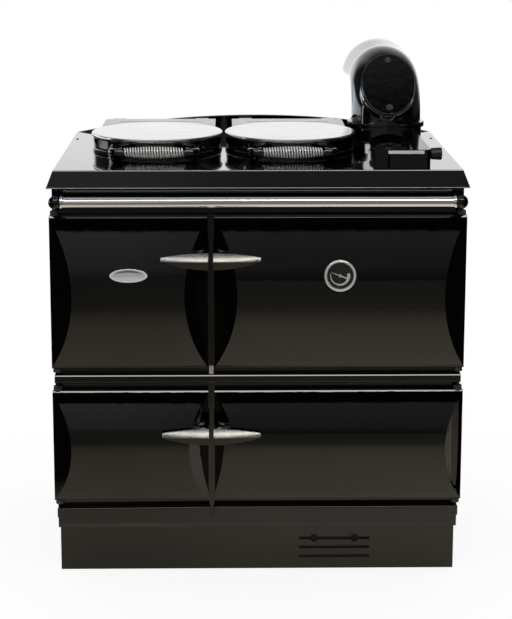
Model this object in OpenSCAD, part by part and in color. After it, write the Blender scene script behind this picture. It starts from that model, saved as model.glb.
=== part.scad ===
// Cast iron range cooker: enamelled body, four bulged doors, two lidded hotplates and a flue elbow.
// X runs right, Y rearwards and Z up. The origin is on the floor, under the middle of the hob.

/* [Range] */
// Width of the hob across the bottom of its rim
hob_w = 900; // [860:1:1000]
// Depth of the hob
hob_d = 600; // [580:1:680]
// Drop of the hob's sloped rim
rim_drop = 37.5; // [28:0.5:45]
// How far the rim flares outwards over that drop
rim_flare = 14; // [8:1:18]
// Thickness of the hob casting
hob_t = 12; // [8:1:16]
// Radius of the hob's rear corners
hob_corner_r = 25; // [10:1:40]
// How far the rim overhangs the body on each side
rim_overhang = 10; // [8:1:14]
// Distance from the hob's front edge back to the front frame
frame_setback = 23; // [21:1:30]
// Height of the plinth
plinth_h = 108; // [80:1:150]
// Height from the plinth to the lower doors
sill_h = 71; // [65:1:90]
// Height of the front frame left between upper and lower doors
mid_h = 51; // [46:1:70]
// Height of the front frame above the upper doors
fascia_h = 58.5; // [54:0.5:80]

/* [Doors] */
// Height of the upper doors
upper_door_h = 336; // [300:1:380]
// Height of the lower doors
lower_door_h = 248; // [220:1:280]
// Width of the two doors on the left
left_door_w = 337; // [310:1:380]
// Gap between the left and right doors
door_split = 14; // [13:1:20]
// How far the doors reach past the body on each side
door_overhang = 5; // [2:1:8]
// Thickness of a door at its edge
door_edge_t = 19; // [17:1:24]
// Bulge of the upper doors in front of their edges
upper_bulge = 38; // [20:1:42]
// Bulge of the lower doors in front of their edges
lower_bulge = 32; // [18:1:36]
// Flat land above and below the bulge
door_land = 5; // [3:1:10]
// Sideways run of a door's end chamfer for each millimetre of depth
chamfer_slope = 1.13; // [0.8:0.01:1.4]
// Inset of the end chamfer at the door's edge
chamfer_start = 6; // [3:0.5:10]
// Rounding of a door's upper and lower front edges
door_edge_r = 4; // [2:0.5:6]
// Wall of the door casting
door_wall = 8; // [6:0.5:10]
// Running gap between a closed door and the front frame
door_gap = 4; // [3:0.5:6]
// Radius of the hinge pins
pin_r = 4; // [3:0.25:5]
// Distance of the hinge pins from the door's outer edge
pin_inset = 11; // [10:0.5:14]
// Height that a pin reaches into its door
pin_len = 20; // [12:1:30]
// Thickness of a hinge lug
lug_t = 8; // [5:0.5:10]
// Depth that a door's liner plugs into its opening
plug_d = 16; // [8:1:30]
// Radius of a catch stud
stud_r = 5; // [4:0.5:6]

/* [Handles] */
// Width of a pair of pulls across the split
pull_pair_w = 218; // [180:2:260]
// Gap between the two pulls of a pair
pull_gap = 10; // [8:0.5:14]
// Height of a pull at its inner end
pull_h = 37; // [28:1:44]
// Height of a pull at its tip
pull_tip_h = 11; // [6:1:16]
// Share of a pull's narrowing that its top edge takes
pull_top_share = 0.35; // [0.2:0.05:0.5]
// Thickness of a pull at its ridge
pull_t = 16; // [12:1:22]
// Distance from the bulge to the back of a pull
pull_stand = 12; // [8:1:24]
// Distance from the door's top to the middle of a pull
pull_drop = 88; // [70:1:110]
// Radius of a pull's neck
neck_r = 6.5; // [5:0.5:8]

/* [Rail] */
// Radius of the hand rail
rail_r = 12.5; // [9:0.5:15]
// Height of the rail above the front frame's door line
rail_rise = 32; // [29:1:40]
// Distance from the front frame to the middle of the rail
rail_stand = 38; // [32:1:55]
// Radius of the balls at the rail's ends
rail_ball_r = 15.5; // [14:0.5:18]

/* [Lids] */
// Diameter of a lid's bright cap
lid_d = 300; // [280:1:303]
// Distance between the lids' middles
lid_pitch = 305; // [304:1:320]
// Distance of the right lid's middle from the range's middle
lid_right_x = 79; // [70:1:90]
// Distance of the lids' middles behind the range's middle
lid_y = 14; // [0:1:20]
// Height of a lid's top above the hob
lid_h = 42; // [38:1:50]
// Thickness of a lid's cap
cap_t = 10; // [8:0.5:12]
// Width of the plate behind a lid
lid_plate_w = 266; // [240:1:280]
// Reach of that plate behind the lid's middle
lid_plate_reach = 207; // [200:1:220]
// Length of the groove across the plate
groove_len = 197; // [150:1:220]
// Radius of a hotplate
hotplate_r = 139.5; // [120:0.5:141]
// Radius of a lid's hinge pin
lid_pin_r = 4; // [3:0.25:5]

/* [Coil handles] */
// Length of a coil
coil_len = 138; // [110:1:150]
// Outer diameter of a coil at its ends
coil_end_d = 19; // [16:0.5:20]
// Outer diameter of a coil at its middle
coil_mid_d = 27; // [22:0.5:30]
// Turns in a coil
coil_turns = 22; // [18:1:28]
// Diameter of the coil's wire
coil_wire = 3.8; // [2.5:0.1:4]
// How far the coil bows forwards
coil_bow = 5; // [0:0.5:5.5]
// Distance from the lid's middle to the handle
handle_reach = 184; // [178:1:195]
// Height of the handle above the hob
handle_rise = 20; // [17:0.5:21]
// Radius of the handle's curved arms
arm_r = 8; // [6:0.5:9]

/* [Flue] */
// Distance of the flue's middle to the right of the range's middle
flue_x = 312; // [305:1:330]
// Distance of the flue's middle behind the range's middle
flue_y = 150; // [130:1:170]
// Inner radius of the flue
flue_r = 76; // [60:1:80]
// Wall of the flue elbow
flue_wall = 6.5; // [4:0.5:8]
// Bend radius of the elbow's middle line
flue_bend_r = 85; // [84:1:120]
// Height of the flue box above the hob
flue_box_h = 41; // [38:1:50]
// Width of the flue box
flue_box_w = 122; // [110:1:130]
// Distance from the flue box's front to the hob's front edge
flue_box_setback = 30; // [24:1:60]
// Distance of the outlet's end behind the range's middle
outlet_y = 370; // [340:1:420]
// Width of the oval soot cover
soot_w = 125; // [100:1:130]
// Length of the oval soot cover
soot_l = 155; // [130:1:160]
// Angle of the soot cover above the horizontal
soot_angle = 31; // [20:1:40]
// Radius of the damper knob
knob_r = 13.5; // [10:0.5:15]
// Length of the damper knob
knob_len = 24; // [16:1:30]

/* [Inside] */
// Depth of the ovens
oven_depth = 380; // [300:5:440]
// Depth of the firebox
firebox_depth = 360; // [300:5:420]
// Thickness of the firebricks
brick_t = 25; // [18:1:32]
// Wall of the firebox casting
firebox_wall = 8; // [6:0.5:12]
// Height of the grate above the upper doors' bottom edge
grate_rise = 12; // [6:1:20]
// Travel of the riddling grate
grate_travel = 20; // [8:1:25]

/* [Fittings] */
// Width of the oval plate
plate_w = 80; // [60:1:100]
// Height of the oval plate
plate_h = 29; // [20:1:40]
// Radius of the thermometer's bezel
thermo_r = 34; // [28:0.5:38]

/* [Hidden] */

$fn = 96;
fine = 360;
eps = 0.01;
over = 1;
seat_gap = 0.3;
run_gap = 0.05;

// Heights
body_z = plinth_h;
base_plate_t = 10;
lower_door_z = plinth_h + sill_h;
upper_door_z = lower_door_z + lower_door_h + mid_h;
body_top = upper_door_z + upper_door_h + fascia_h;
hob_top_z = body_top + rim_drop;
hob_under = hob_top_z - hob_t;
frame_z = body_z + base_plate_t;

// Widths and depths
body_w = hob_w - 2 * rim_overhang;
body_x = body_w / 2;
front_y = -hob_d / 2;
rear_y = hob_d / 2;
frame_t = 15;
frame_y = front_y + frame_setback;
frame_rear = frame_y + frame_t;
body_rear = rear_y - 15;
panel_t = 3;
panel_flange = 18;

// Doors: [side, bottom height, width, height, bulge]
door_reach = body_x + door_overhang;
right_door_w = 2 * door_reach - left_door_w - door_split;
split_x = -door_reach + left_door_w + door_split / 2;
door_rear_y = frame_y - door_gap;
fire_door = [-1, upper_door_z, left_door_w, upper_door_h, upper_bulge];
main_oven_door = [1, upper_door_z, right_door_w, upper_door_h, upper_bulge];
ash_door = [-1, lower_door_z, left_door_w, lower_door_h, lower_bulge];
lower_oven_door = [1, lower_door_z, right_door_w, lower_door_h, lower_bulge];
doors = [fire_door, main_oven_door, ash_door, lower_oven_door];

function bulge_radius(h, bulge) = (pow(h / 2 - door_land, 2) + bulge * bulge) / (2 * bulge);

pin_back = 10;
hinge_gap = 0.5;
lug_r = pin_r + 5;
outer_margin = 55;
inner_margin = 58;
opening_margin = 30;
opening_r = 8;
rebate = 12;
hinge_rebate = pin_inset + pin_r + 5;
rebate_d = 3;
rebate_gap = 0.5;
hollow_step = 6;
plug_gap = 8;
seal_in = 6;
seal_w = 8;
seal_t = door_gap - seat_gap;
stud_inset = 28;
stud_hole_r = stud_r + 4;
leaf_t = 1.2;
leaf_len = 16;
leaf_w = 14;
leaf_foot = 18;
stud_len = door_gap + frame_t + leaf_len - 2;

// Pulls
pull_half = pull_pair_w / 2;
pull_half_h = pull_h / 2;
pull_top_fall = pull_top_share * (pull_h - pull_tip_h);
pull_low_rise = (1 - pull_top_share) * (pull_h - pull_tip_h);
pull_top_r = (pull_half * pull_half + pull_top_fall * pull_top_fall) / (2 * pull_top_fall);
pull_low_r = (pull_half * pull_half + pull_low_rise * pull_low_rise) / (2 * pull_low_rise);
pull_rear = door_edge_t + upper_bulge + pull_stand;
pull_plan_r = pull_half * pull_half / pull_t;
pull_ridge_z = 1.5;
pull_edge_t = 4;
neck_inset = 12.5;

// Beads and trims of the front frame
bead_h = 19;
bead_t = 18;
bead_r = 4;
post_w = 10;
trim_h = 23;
trim_t = 20;
trim_z = plinth_h + 31;
trim_split = 6;

// Plinth
plinth_setback = 22;
plinth_t = 4;
plinth_y = frame_y + plinth_setback;
plinth_x = body_x - 2;
slot_w = 157;
slot_h = 6.5;
slot_pitch = 21;
slot_x = 171.5;
slot_top_z = plinth_h - 37;
slot_count = 3;
finger_r = 9;
finger_pitch = 90;
bearer_t = 6;
bearer_flange = 40;
bearer_setback = 36;

// Rail
rail_z = upper_door_z + upper_door_h + rail_rise;
rail_y = frame_y - rail_stand;
rail_ball_x = body_x - 12;
rail_ring_w = 8;
rail_post_r = 8;
rail_foot_r = 12;

// Lids
lid_left_x = lid_right_x - lid_pitch;
lid_xs = [lid_left_x, lid_right_x];
lid_top = hob_top_z + lid_h;
cap_z = lid_top - cap_t;
cap_r = lid_d / 2;
shell_r = cap_r - 3;
shell_t = 4;
shell_floor = 6;
step_h = 6;
step_w = 2;
lid_plate_t = 7;
lid_plate_drop = 1;
groove_y = cap_r + 3;
groove_w = 4;
groove_d = 3;
knuckle_r = lid_pin_r + 5;
hinge_rise = 30;
hinge_z = hob_top_z + hinge_rise;
hinge_back = knuckle_r + 3;
hinge_y = lid_y + lid_plate_reach + hinge_back;
hinge_x = 100;
knuckle_w = 30;
ear_w = 8.5;
ear_gap = 0.5;
ear_foot_t = 6;
handle_z = hob_top_z + handle_rise;
ferrule_len = 8;
arm_bend = 16;
arm_x = coil_len / 2 + ferrule_len + arm_bend;
core_r = 3;

// Flue
flue_out_r = flue_r + flue_wall;
flue_box_x1 = flue_x + 56;
flue_box_x0 = flue_box_x1 - flue_box_w;
flue_box_y = front_y + flue_box_setback;
flue_box_top = hob_top_z + flue_box_h;
flue_box_wall = 8;
flue_box_roof = 5;
housing_w = 93;
housing_d = 30;
housing_step = 3;
housing_r = 8;
collar_r = flue_out_r + 2.5;
ring_r = flue_out_r + 8.5;
ring_h = 5;
ring_z = flue_box_top - ring_h;
elbow_z = flue_box_top;
elbow_flange = 6;
bend_z = elbow_z + elbow_flange + 3;
axis_z = bend_z + flue_bend_r;
socket_len = 22;
socket_wall = 5.5;
soot_rim = 6;
soot_t = 6;
soot_reach = flue_bend_r + flue_out_r + 2;
soot_screw_r = 8.5;
soot_screw_in = 17;
strip_w = 77;
strip_h = 7;
strip_t = 1.5;
spindle_r = 4;
spindle_y = flue_box_y + 16;
spindle_z = flue_box_top - flue_box_roof - 6.5;
flap_hub_r = 5.5;
flap_w = 76;
flap_len = spindle_z - hob_top_z - 4;
flap_t = 3;

// Inside
oven_wall = 4;
shelf_rod_r = 3.5;
shelf_bar_r = 2.25;
shelf_bars = 13;
shelf_gap = 4;
runner_w = 8;
runner_t = 4;
main_shelf_share = 0.45;
lower_shelf_share = 0.4;
ledge_w = 35;
ledge_t = 8;
grate_z = upper_door_z + grate_rise;
grate_t = 12;
grate_gap = 1;
grate_slots = 9;
grate_slot = 10;
pan_wall = 2;
pan_h = 65;
pan_gap = 10;
pan_grip = 18;
pan_grip_w = 80;
pan_rod_r = 3;
air_hole_w = 160;
air_hole_d = 200;

// Thermometer and oval plate
thermo_x = 173;
thermo_drop = 123;
thermo_pocket = 3.5;
thermo_pocket_d = 2.5;
bezel_w = 6;
bezel_h = 7;
dial_t = 2;
stem_r = 5;
needle_h = 0.8;
needle_z = 1.2;
needle_pin_r = 1.2;
needle_len = 20;
needle_tail = 18;
needle_tail_w = 3.4;
needle_tip_w = 0.8;
needle_hub_r = 3.2;
needle_angle = 159;
glass_t = 1.5;
glass_z = 3;
plate_x = -275;
plate_drop = 122;
plate_t = 2;

enamel = "#141416";
chrome = "#d6d9dd";
pewter = "#a3a197";
iron = "#4a4b4e";
steel = "#9a9da1";

// ---------- helpers ----------

// Sweeps a (Y, Z) outline along X, from x0 to x1
module along_x(x0, x1) {
    translate([x0, 0, 0])
        rotate([90, 0, 90])
            linear_extrude(x1 - x0)
                children();
}

// Sweeps an (X, Z) outline along Y, from y0 to y1
module along_y(y0, y1) {
    translate([0, y1, 0])
        rotate([90, 0, 0])
            linear_extrude(y1 - y0)
                children();
}

module box(x0, x1, y0, y1, z0, z1) {
    translate([x0, y0, z0])
        cube([x1 - x0, y1 - y0, z1 - z0]);
}

module rod_x(r, x0, x1) {
    translate([x0, 0, 0])
        rotate([0, 90, 0])
            cylinder(r = r, h = x1 - x0);
}

module rod_y(r, y0, y1) {
    translate([0, y0, 0])
        rotate([-90, 0, 0])
            cylinder(r = r, h = y1 - y0);
}

// Rectangle with round corners, from a lower to an upper corner
module round_rect(x0, x1, y0, y1, r) {
    translate([x0 + r, y0])
        square([x1 - x0 - 2 * r, y1 - y0]);
    translate([x0, y0 + r])
        square([x1 - x0, y1 - y0 - 2 * r]);
    for (x = [x0 + r, x1 - r], y = [y0 + r, y1 - r])
        translate([x, y])
            circle(r);
}

// Strip on the front frame with its two front edges rounded
module bead(x0, x1, z0, z1, depth, r) {
    along_x(x0, x1) {
        translate([frame_y - depth + r, z0])
            square([depth - r, z1 - z0]);
        translate([frame_y - depth, z0 + r])
            square([r, z1 - z0 - 2 * r]);
        for (z = [z0 + r, z1 - r])
            translate([frame_y - depth + r, z])
                circle(r);
    }
}

function oval_points(w, h, n) = [for (i = [0 : n - 1]) [w / 2 * cos(360 * i / n), h / 2 * sin(360 * i / n)]];

// ---------- doors: local X runs from the hinge edge, Y = 0 is the back, the front is at -Y ----------

module on_door(door) {
    translate([door[0] * door_reach, door_rear_y, door[1]])
        mirror([door[0] > 0 ? 1 : 0, 0, 0])
            children();
}

// Side outline of a door, drawn in by t all round
module door_profile(h, bulge, t) {
    radius = bulge_radius(h, bulge);
    r = door_edge_r;
    front = door_edge_t - t;
    translate([-front + r, t])
        square([front - r, h - 2 * t]);
    translate([-front, t + r])
        square([front, h - 2 * t - 2 * r]);
    for (z = [t + r, h - t - r])
        translate([-front + r, z])
            circle(r);
    intersection() {
        translate([radius - door_edge_t - bulge, h / 2])
            circle(radius - t, $fn = fine);
        translate([-door_edge_t - bulge, door_land + t])
            square([door_edge_t + bulge, h - 2 * door_land - 2 * t]);
    }
}

// Plan outline of a door with its two end chamfers, drawn in by t and by the ends' own insets
module door_plan(w, bulge, t, hinge_in, split_in) {
    depth = door_edge_t + bulge + over;
    shift = chamfer_start + t * sqrt(1 + chamfer_slope * chamfer_slope);
    hinge_y0 = -door_edge_t - (hinge_in - shift) / chamfer_slope;
    split_y0 = -door_edge_t - (split_in - shift) / chamfer_slope;
    end_in = shift + (bulge + over) * chamfer_slope;
    polygon([
        [hinge_in, 0],
        [hinge_in, hinge_y0],
        [end_in, -depth],
        [w - end_in, -depth],
        [w - split_in, split_y0],
        [w - split_in, 0]
    ]);
}

module door_form(door) {
    w = door[2];
    h = door[3];
    difference() {
        intersection() {
            along_x(0, w)
                door_profile(h, door[4], 0);
            linear_extrude(h)
                door_plan(w, door[4], 0, 0, 0);
        }
        difference() {
            translate([-over, -pin_back, -over])
                cube([pin_inset + over, pin_back + over, h + 2 * over]);
            translate([pin_inset, -pin_back, -2 * over])
                cylinder(r = pin_inset, h = h + 4 * over);
        }
    }
}

module door_hollow(door) {
    w = door[2];
    h = door[3];
    inset = rebate + hollow_step;
    intersection() {
        along_x(0, w)
            door_profile(h, door[4], door_wall);
        linear_extrude(h)
            door_plan(w, door[4], door_wall, hinge_rebate + hollow_step, inset);
        translate([0, -door_edge_t - door[4], inset])
            cube([w, door_edge_t + door[4] - rebate_d, h - 2 * inset]);
    }
}

module door_casting(door) {
    w = door[2];
    h = door[3];
    difference() {
        door_form(door);
        door_hollow(door);
        box(hinge_rebate, w - rebate, -rebate_d - eps, over, rebate, h - rebate);
        for (z = [-over, h - pin_len - over])
            translate([pin_inset, -pin_back, z])
                cylinder(r = pin_r + run_gap, h = pin_len + 2 * over);
    }
}

module door_liner(door) {
    w = door[2];
    h = door[3];
    edge = rebate + rebate_gap;
    plug = opening_margin + plug_gap;
    box(hinge_rebate + rebate_gap, w - edge, -rebate_d, 0, edge, h - edge);
    box(outer_margin + plug_gap, w - inner_margin - plug_gap, -rebate_d, plug_d, plug, h - plug);
    translate([w - stud_inset, 0, h / 2])
        rod_y(stud_r, -rebate_d, stud_len);
}

module door_seal(door) {
    w = door[2];
    h = door[3];
    inside = seal_in;
    outside = seal_in + seal_w;
    along_y(0, seal_t)
        difference() {
            round_rect(outer_margin - outside, w - inner_margin + outside,
                opening_margin - outside, h - opening_margin + outside, opening_r + outside);
            round_rect(outer_margin - inside, w - inner_margin + inside,
                opening_margin - inside, h - opening_margin + inside, opening_r + inside);
        }
}

// Half of a lens-shaped pull, whose two halves meet across the split between the doors
module door_pull(door) {
    w = door[2];
    h = door[3];
    split = w + door_split / 2;
    pull_z = h - pull_drop;
    translate([split, 0, pull_z])
        intersection() {
            along_y(-pull_rear - pull_t, -pull_rear)
                intersection() {
                    translate([0, pull_half_h - pull_top_r])
                        circle(pull_top_r, $fn = fine);
                    translate([0, pull_low_r - pull_half_h])
                        circle(pull_low_r, $fn = fine);
                    translate([-pull_half, -pull_half_h])
                        square([pull_half - pull_gap / 2, pull_h]);
                }
            along_x(-pull_half, 0)
                polygon([
                    [-pull_rear, -pull_h],
                    [-pull_rear - pull_edge_t, -pull_half_h],
                    [-pull_rear - pull_t, pull_ridge_z],
                    [-pull_rear - pull_edge_t, pull_half_h],
                    [-pull_rear, pull_h]
                ]);
            translate([0, pull_plan_r - pull_rear - pull_t, -pull_h])
                cylinder(r = pull_plan_r, h = 2 * pull_h, $fn = 2 * fine);
        }
    difference() {
        translate([split - pull_gap / 2 - neck_inset, 0, pull_z])
            rod_y(neck_r, -pull_rear, -door_edge_t + neck_r);
        door_form(door);
    }
}

// ---------- places on the upper doors' bulge, with local Z pointing straight out ----------

module on_bulge(x, drop) {
    radius = bulge_radius(upper_door_h, upper_bulge);
    rise = upper_door_h / 2 - drop;
    tilt = asin(rise / radius);
    translate([x, door_rear_y - door_edge_t - upper_bulge + radius - radius * cos(tilt),
        upper_door_z + upper_door_h - drop])
        rotate([90 - tilt, 0, 0])
            children();
}

module at_thermometer() {
    on_bulge(thermo_x, thermo_drop)
        children();
}

// ---------- base and body ----------

module base_frame() {
    x = plinth_x - plinth_t - 6;
    y0 = plinth_y + bearer_setback;
    y1 = body_rear - 10;
    color(iron) {
        for (z = [0, plinth_h - bearer_t])
            translate([0, 0, z])
                linear_extrude(bearer_t) {
                    difference() {
                        translate([-x, y0])
                            square([2 * x, y1 - y0]);
                        translate([-x + bearer_flange, y0 + bearer_flange])
                            square([2 * (x - bearer_flange), y1 - y0 - 2 * bearer_flange]);
                    }
                    translate([-bearer_flange / 2, y0])
                        square([bearer_flange, y1 - y0]);
                }
        linear_extrude(plinth_h) {
            difference() {
                translate([-x, y0])
                    square([2 * x, y1 - y0]);
                translate([-x + bearer_t, y0 + bearer_t])
                    square([2 * (x - bearer_t), y1 - y0 - 2 * bearer_t]);
            }
            translate([-bearer_t / 2, y0])
                square([bearer_t, y1 - y0]);
        }
    }
}

module plinth() {
    color(enamel)
        difference() {
            linear_extrude(plinth_h)
                difference() {
                    translate([-plinth_x, plinth_y])
                        square([2 * plinth_x, body_rear - plinth_y]);
                    translate([-plinth_x + plinth_t, plinth_y + plinth_t])
                        square([2 * (plinth_x - plinth_t), body_rear - plinth_y]);
                }
            along_y(plinth_y - over, plinth_y + plinth_t + over) {
                for (i = [0 : slot_count - 1])
                    translate([slot_x - slot_w / 2, slot_top_z - i * slot_pitch - slot_h / 2])
                        square([slot_w, slot_h]);
                for (side = [-1, 1])
                    translate([slot_x + side * finger_pitch / 2, slot_top_z])
                        circle(finger_r);
            }
        }
}

module base_plate() {
    x = (-door_reach + outer_margin + split_x - inner_margin) / 2;
    color(iron)
        difference() {
            box(-body_x, body_x, frame_y, body_rear, body_z, frame_z);
            translate([x - air_hole_w / 2, -air_hole_d / 2, body_z - over])
                cube([air_hole_w, air_hole_d, base_plate_t + 2 * over]);
        }
}

// Outline of a door's opening in the front frame, grown by extra
module opening(door, extra = 0) {
    w = door[2];
    h = door[3];
    round_rect(outer_margin - extra, w - inner_margin + extra,
        opening_margin - extra, h - opening_margin + extra, opening_r);
}

module front_frame() {
    mid_z = lower_door_z + lower_door_h + mid_h / 2;
    color(enamel)
        difference() {
            union() {
                box(-body_x, body_x, frame_y, frame_rear, frame_z, body_top);
                bead(-body_x, body_x, mid_z - bead_h / 2, mid_z + bead_h / 2, bead_t, bead_r);
                box(split_x - post_w / 2, split_x + post_w / 2, frame_y - bead_t + bead_r, frame_y + eps,
                    trim_z + trim_h + 2, body_top - fascia_h + 2);
            }
            for (door = doors)
                on_door(door) {
                    along_y(-over, door_gap + frame_t + over)
                        opening(door);
                    translate([door[2] - stud_inset, 0, door[3] / 2])
                        rod_y(stud_hole_r, door_gap - over, door_gap + frame_t + over);
                }
        }
}

module hinge_pintles() {
    color(iron)
        for (door = doors)
            on_door(door) {
                for (z = [-hinge_gap - lug_t, door[3] + hinge_gap])
                    translate([pin_inset, -pin_back, z])
                        linear_extrude(lug_t) {
                            circle(lug_r);
                            translate([-lug_r, 0])
                                square([2 * lug_r, pin_back + door_gap]);
                        }
                for (z = [-hinge_gap - lug_t, door[3] - pin_len])
                    translate([pin_inset, -pin_back, z])
                        cylinder(r = pin_r, h = pin_len + hinge_gap + lug_t);
            }
}

module catch_springs() {
    color(steel)
        for (door = doors)
            on_door(door)
                translate([door[2] - stud_inset - leaf_w / 2, door_gap + frame_t, door[3] / 2])
                    for (side = [-1, 1])
                        mirror([0, 0, side > 0 ? 0 : 1])
                            translate([0, 0, stud_r + seat_gap]) {
                                cube([leaf_w, leaf_len, leaf_t]);
                                cube([leaf_w, leaf_t, leaf_foot]);
                            }
}

module lower_trims() {
    color(enamel) {
        bead(-body_x, split_x - trim_split / 2, trim_z, trim_z + trim_h, trim_t, bead_r);
        bead(split_x + trim_split / 2, body_x, trim_z, trim_z + trim_h, trim_t, bead_r);
    }
}

// Side panel folded inwards along all four edges
module side_panel() {
    difference() {
        box(body_x - panel_flange, body_x, frame_rear, body_rear, frame_z, body_top);
        box(body_x - panel_flange - over, body_x - panel_t, frame_rear + panel_t, body_rear - panel_t,
            frame_z + panel_t, body_top - panel_t);
    }
}

module side_panel_left() {
    color(enamel)
        mirror([1, 0, 0])
            side_panel();
}

module side_panel_right() {
    color(enamel)
        side_panel();
}

module back_panel() {
    x = body_x - panel_flange;
    color(steel)
        difference() {
            box(-x, x, body_rear - panel_flange, body_rear, frame_z, body_top);
            box(-x + panel_t, x - panel_t, body_rear - panel_flange - over, body_rear - panel_t,
                frame_z + panel_t, body_top - panel_t);
        }
}

// ---------- hob ----------

module hob_top() {
    ring = 8;
    z0 = body_top;
    z1 = hob_top_z;
    color(enamel)
        difference() {
            intersection() {
                along_y(front_y, rear_y)
                    polygon([
                        [-hob_w / 2, z0],
                        [-hob_w / 2 + rim_flare, z1],
                        [hob_w / 2 - rim_flare, z1],
                        [hob_w / 2, z0]
                    ]);
                along_x(-hob_w / 2, hob_w / 2)
                    polygon([[front_y, z0], [front_y + rim_flare, z1], [rear_y, z1], [rear_y, z0]]);
                translate([0, 0, z0 - over])
                    linear_extrude(rim_drop + 2 * over)
                        union() {
                            translate([-hob_w / 2, front_y])
                                square([hob_w, hob_d - hob_corner_r - rim_flare]);
                            round_rect(-hob_w / 2 + rim_flare / 2, hob_w / 2 - rim_flare / 2,
                                front_y, rear_y, hob_corner_r);
                        }
            }
            box(-body_x + ring, body_x - ring, frame_y + ring, body_rear - ring, z0 - over, hob_under);
            for (x = lid_xs)
                translate([x, lid_y, hob_under - over])
                    cylinder(r = hotplate_r + 0.5, h = hob_t + 2 * over, $fn = fine);
            translate([flue_x, flue_y, hob_under - over])
                cylinder(r = flue_r, h = hob_t + 2 * over);
        }
}

module hotplates() {
    rise = 2;
    flange = 10;
    color(iron)
        for (x = lid_xs)
            translate([x, lid_y, 0]) {
                translate([0, 0, hob_under - hob_t])
                    cylinder(r = hotplate_r, h = 2 * hob_t + rise, $fn = fine);
                translate([0, 0, hob_under - hob_t])
                    cylinder(r = hotplate_r + flange, h = hob_t, $fn = fine);
            }
}

module back_upstand() {
    half = hob_w / 2 - rim_flare - 2;
    rise = 42;
    t = 12;
    radius = (half * half + rise * rise) / (2 * rise);
    color(enamel)
        along_y(rear_y - t - 4, rear_y - 4)
            intersection() {
                translate([0, hob_top_z + rise - radius])
                    circle(radius, $fn = 2 * fine);
                translate([-half, hob_top_z])
                    square([2 * half, rise + over]);
            }
}

// ---------- rail ----------

module rail_tube() {
    color(chrome)
        translate([0, rail_y, rail_z]) {
            difference() {
                rod_x(rail_r, -rail_ball_x + seat_gap, rail_ball_x - seat_gap);
                rod_x(rail_r - 2, -rail_ball_x, rail_ball_x);
            }
            for (side = [-1, 1])
                translate([side * (rail_ball_x - rail_ball_r - rail_ring_w), 0, 0])
                    difference() {
                        rod_x(rail_r + 2, -rail_ring_w / 2, rail_ring_w / 2);
                        rod_x(rail_r - 1, -rail_ring_w, rail_ring_w);
                    }
        }
}

module rail_brackets() {
    foot_t = 5;
    color(enamel)
        for (flip = [0, 1])
            mirror([flip, 0, 0])
                translate([rail_ball_x, rail_y, rail_z])
                    difference() {
                        union() {
                            sphere(r = rail_ball_r);
                            rod_y(rail_post_r, 0, rail_stand);
                            rod_y(rail_foot_r, rail_stand - foot_t, rail_stand);
                        }
                        rod_x(rail_r + seat_gap, -2 * rail_ball_r, 0);
                    }
}

// ---------- lids ----------

module on_lid(x) {
    translate([x, lid_y, 0])
        children();
}

module lid_cap(x) {
    r = 4;
    plate_z = lid_top - lid_plate_t - lid_plate_drop;
    web_y = lid_plate_reach - 4;
    pin_y = hinge_y - lid_y;
    color(chrome)
        on_lid(x)
            difference() {
                union() {
                    translate([0, 0, cap_z])
                        rotate_extrude($fn = fine) {
                            square([cap_r - r, cap_t]);
                            square([cap_r, cap_t - r]);
                            translate([cap_r - r, cap_t - r])
                                circle(r);
                        }
                    translate([-lid_plate_w / 2, 0, plate_z])
                        cube([lid_plate_w, lid_plate_reach, lid_plate_t]);
                    for (side = [-1, 1])
                        translate([side * hinge_x - knuckle_w / 2, 0, 0]) {
                            translate([0, web_y, hinge_z])
                                cube([knuckle_w, pin_y - web_y, plate_z + lid_plate_t - hinge_z]);
                            translate([0, pin_y, hinge_z])
                                rod_x(knuckle_r, 0, knuckle_w);
                        }
                }
                translate([0, pin_y, hinge_z])
                    rod_x(lid_pin_r + run_gap, -lid_plate_w, lid_plate_w);
                translate([-groove_len / 2, groove_y, lid_top - lid_plate_drop - groove_d])
                    cube([groove_len, groove_w, groove_d + over]);
            }
}

module lid_shell(x) {
    z0 = hob_top_z + seat_gap;
    color(enamel)
        on_lid(x)
            rotate_extrude($fn = fine)
                polygon([
                    [0, z0 + shell_floor],
                    [shell_r - shell_t, z0 + shell_floor],
                    [shell_r - shell_t, z0],
                    [shell_r + step_w, z0],
                    [shell_r + step_w, z0 + step_h],
                    [shell_r, z0 + step_h + step_w],
                    [shell_r, cap_z],
                    [shell_r - shell_t, cap_z],
                    [shell_r - shell_t, z0 + shell_floor + shell_t],
                    [0, z0 + shell_floor + shell_t]
                ]);
}

// Two curved arms that carry a coil handle, with the rod through the coil
module lid_arms(x) {
    color(enamel)
        on_lid(x)
            difference() {
                translate([0, -handle_reach, handle_z]) {
                    rod_x(core_r, -coil_len / 2, coil_len / 2);
                    for (side = [-1, 1])
                        mirror([side > 0 ? 0 : 1, 0, 0]) {
                            rod_x(coil_end_d / 2 + 0.5, coil_len / 2, coil_len / 2 + ferrule_len);
                            translate([coil_len / 2 + ferrule_len, arm_bend, 0])
                                rotate([0, 0, -90])
                                    rotate_extrude(angle = 90)
                                        translate([arm_bend, 0])
                                            circle(arm_r);
                            translate([arm_x, 0, 0])
                                rod_y(arm_r, arm_bend, handle_reach);
                        }
                }
                translate([0, 0, hob_top_z - over])
                    cylinder(r = shell_r + 2 * run_gap, h = lid_h + 2 * over, $fn = fine);
            }
}

// Path of the coil's wire: a straight end, the turns on a bowed barrel, and a straight end
coil_rings = 8;
coil_sides = 6;
coil_steps = coil_turns * coil_rings;
coil_run = coil_len - 2 * coil_wire;

function coil_r(u) = (coil_end_d + (coil_mid_d - coil_end_d) * sin(180 * u) - coil_wire) / 2;

function coil_out(u) = [0, cos(360 * coil_turns * u), sin(360 * coil_turns * u)];

function coil_point(u) = [coil_run * (u - 0.5), -coil_bow * sin(180 * u), 0] + coil_r(u) * coil_out(u);

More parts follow.
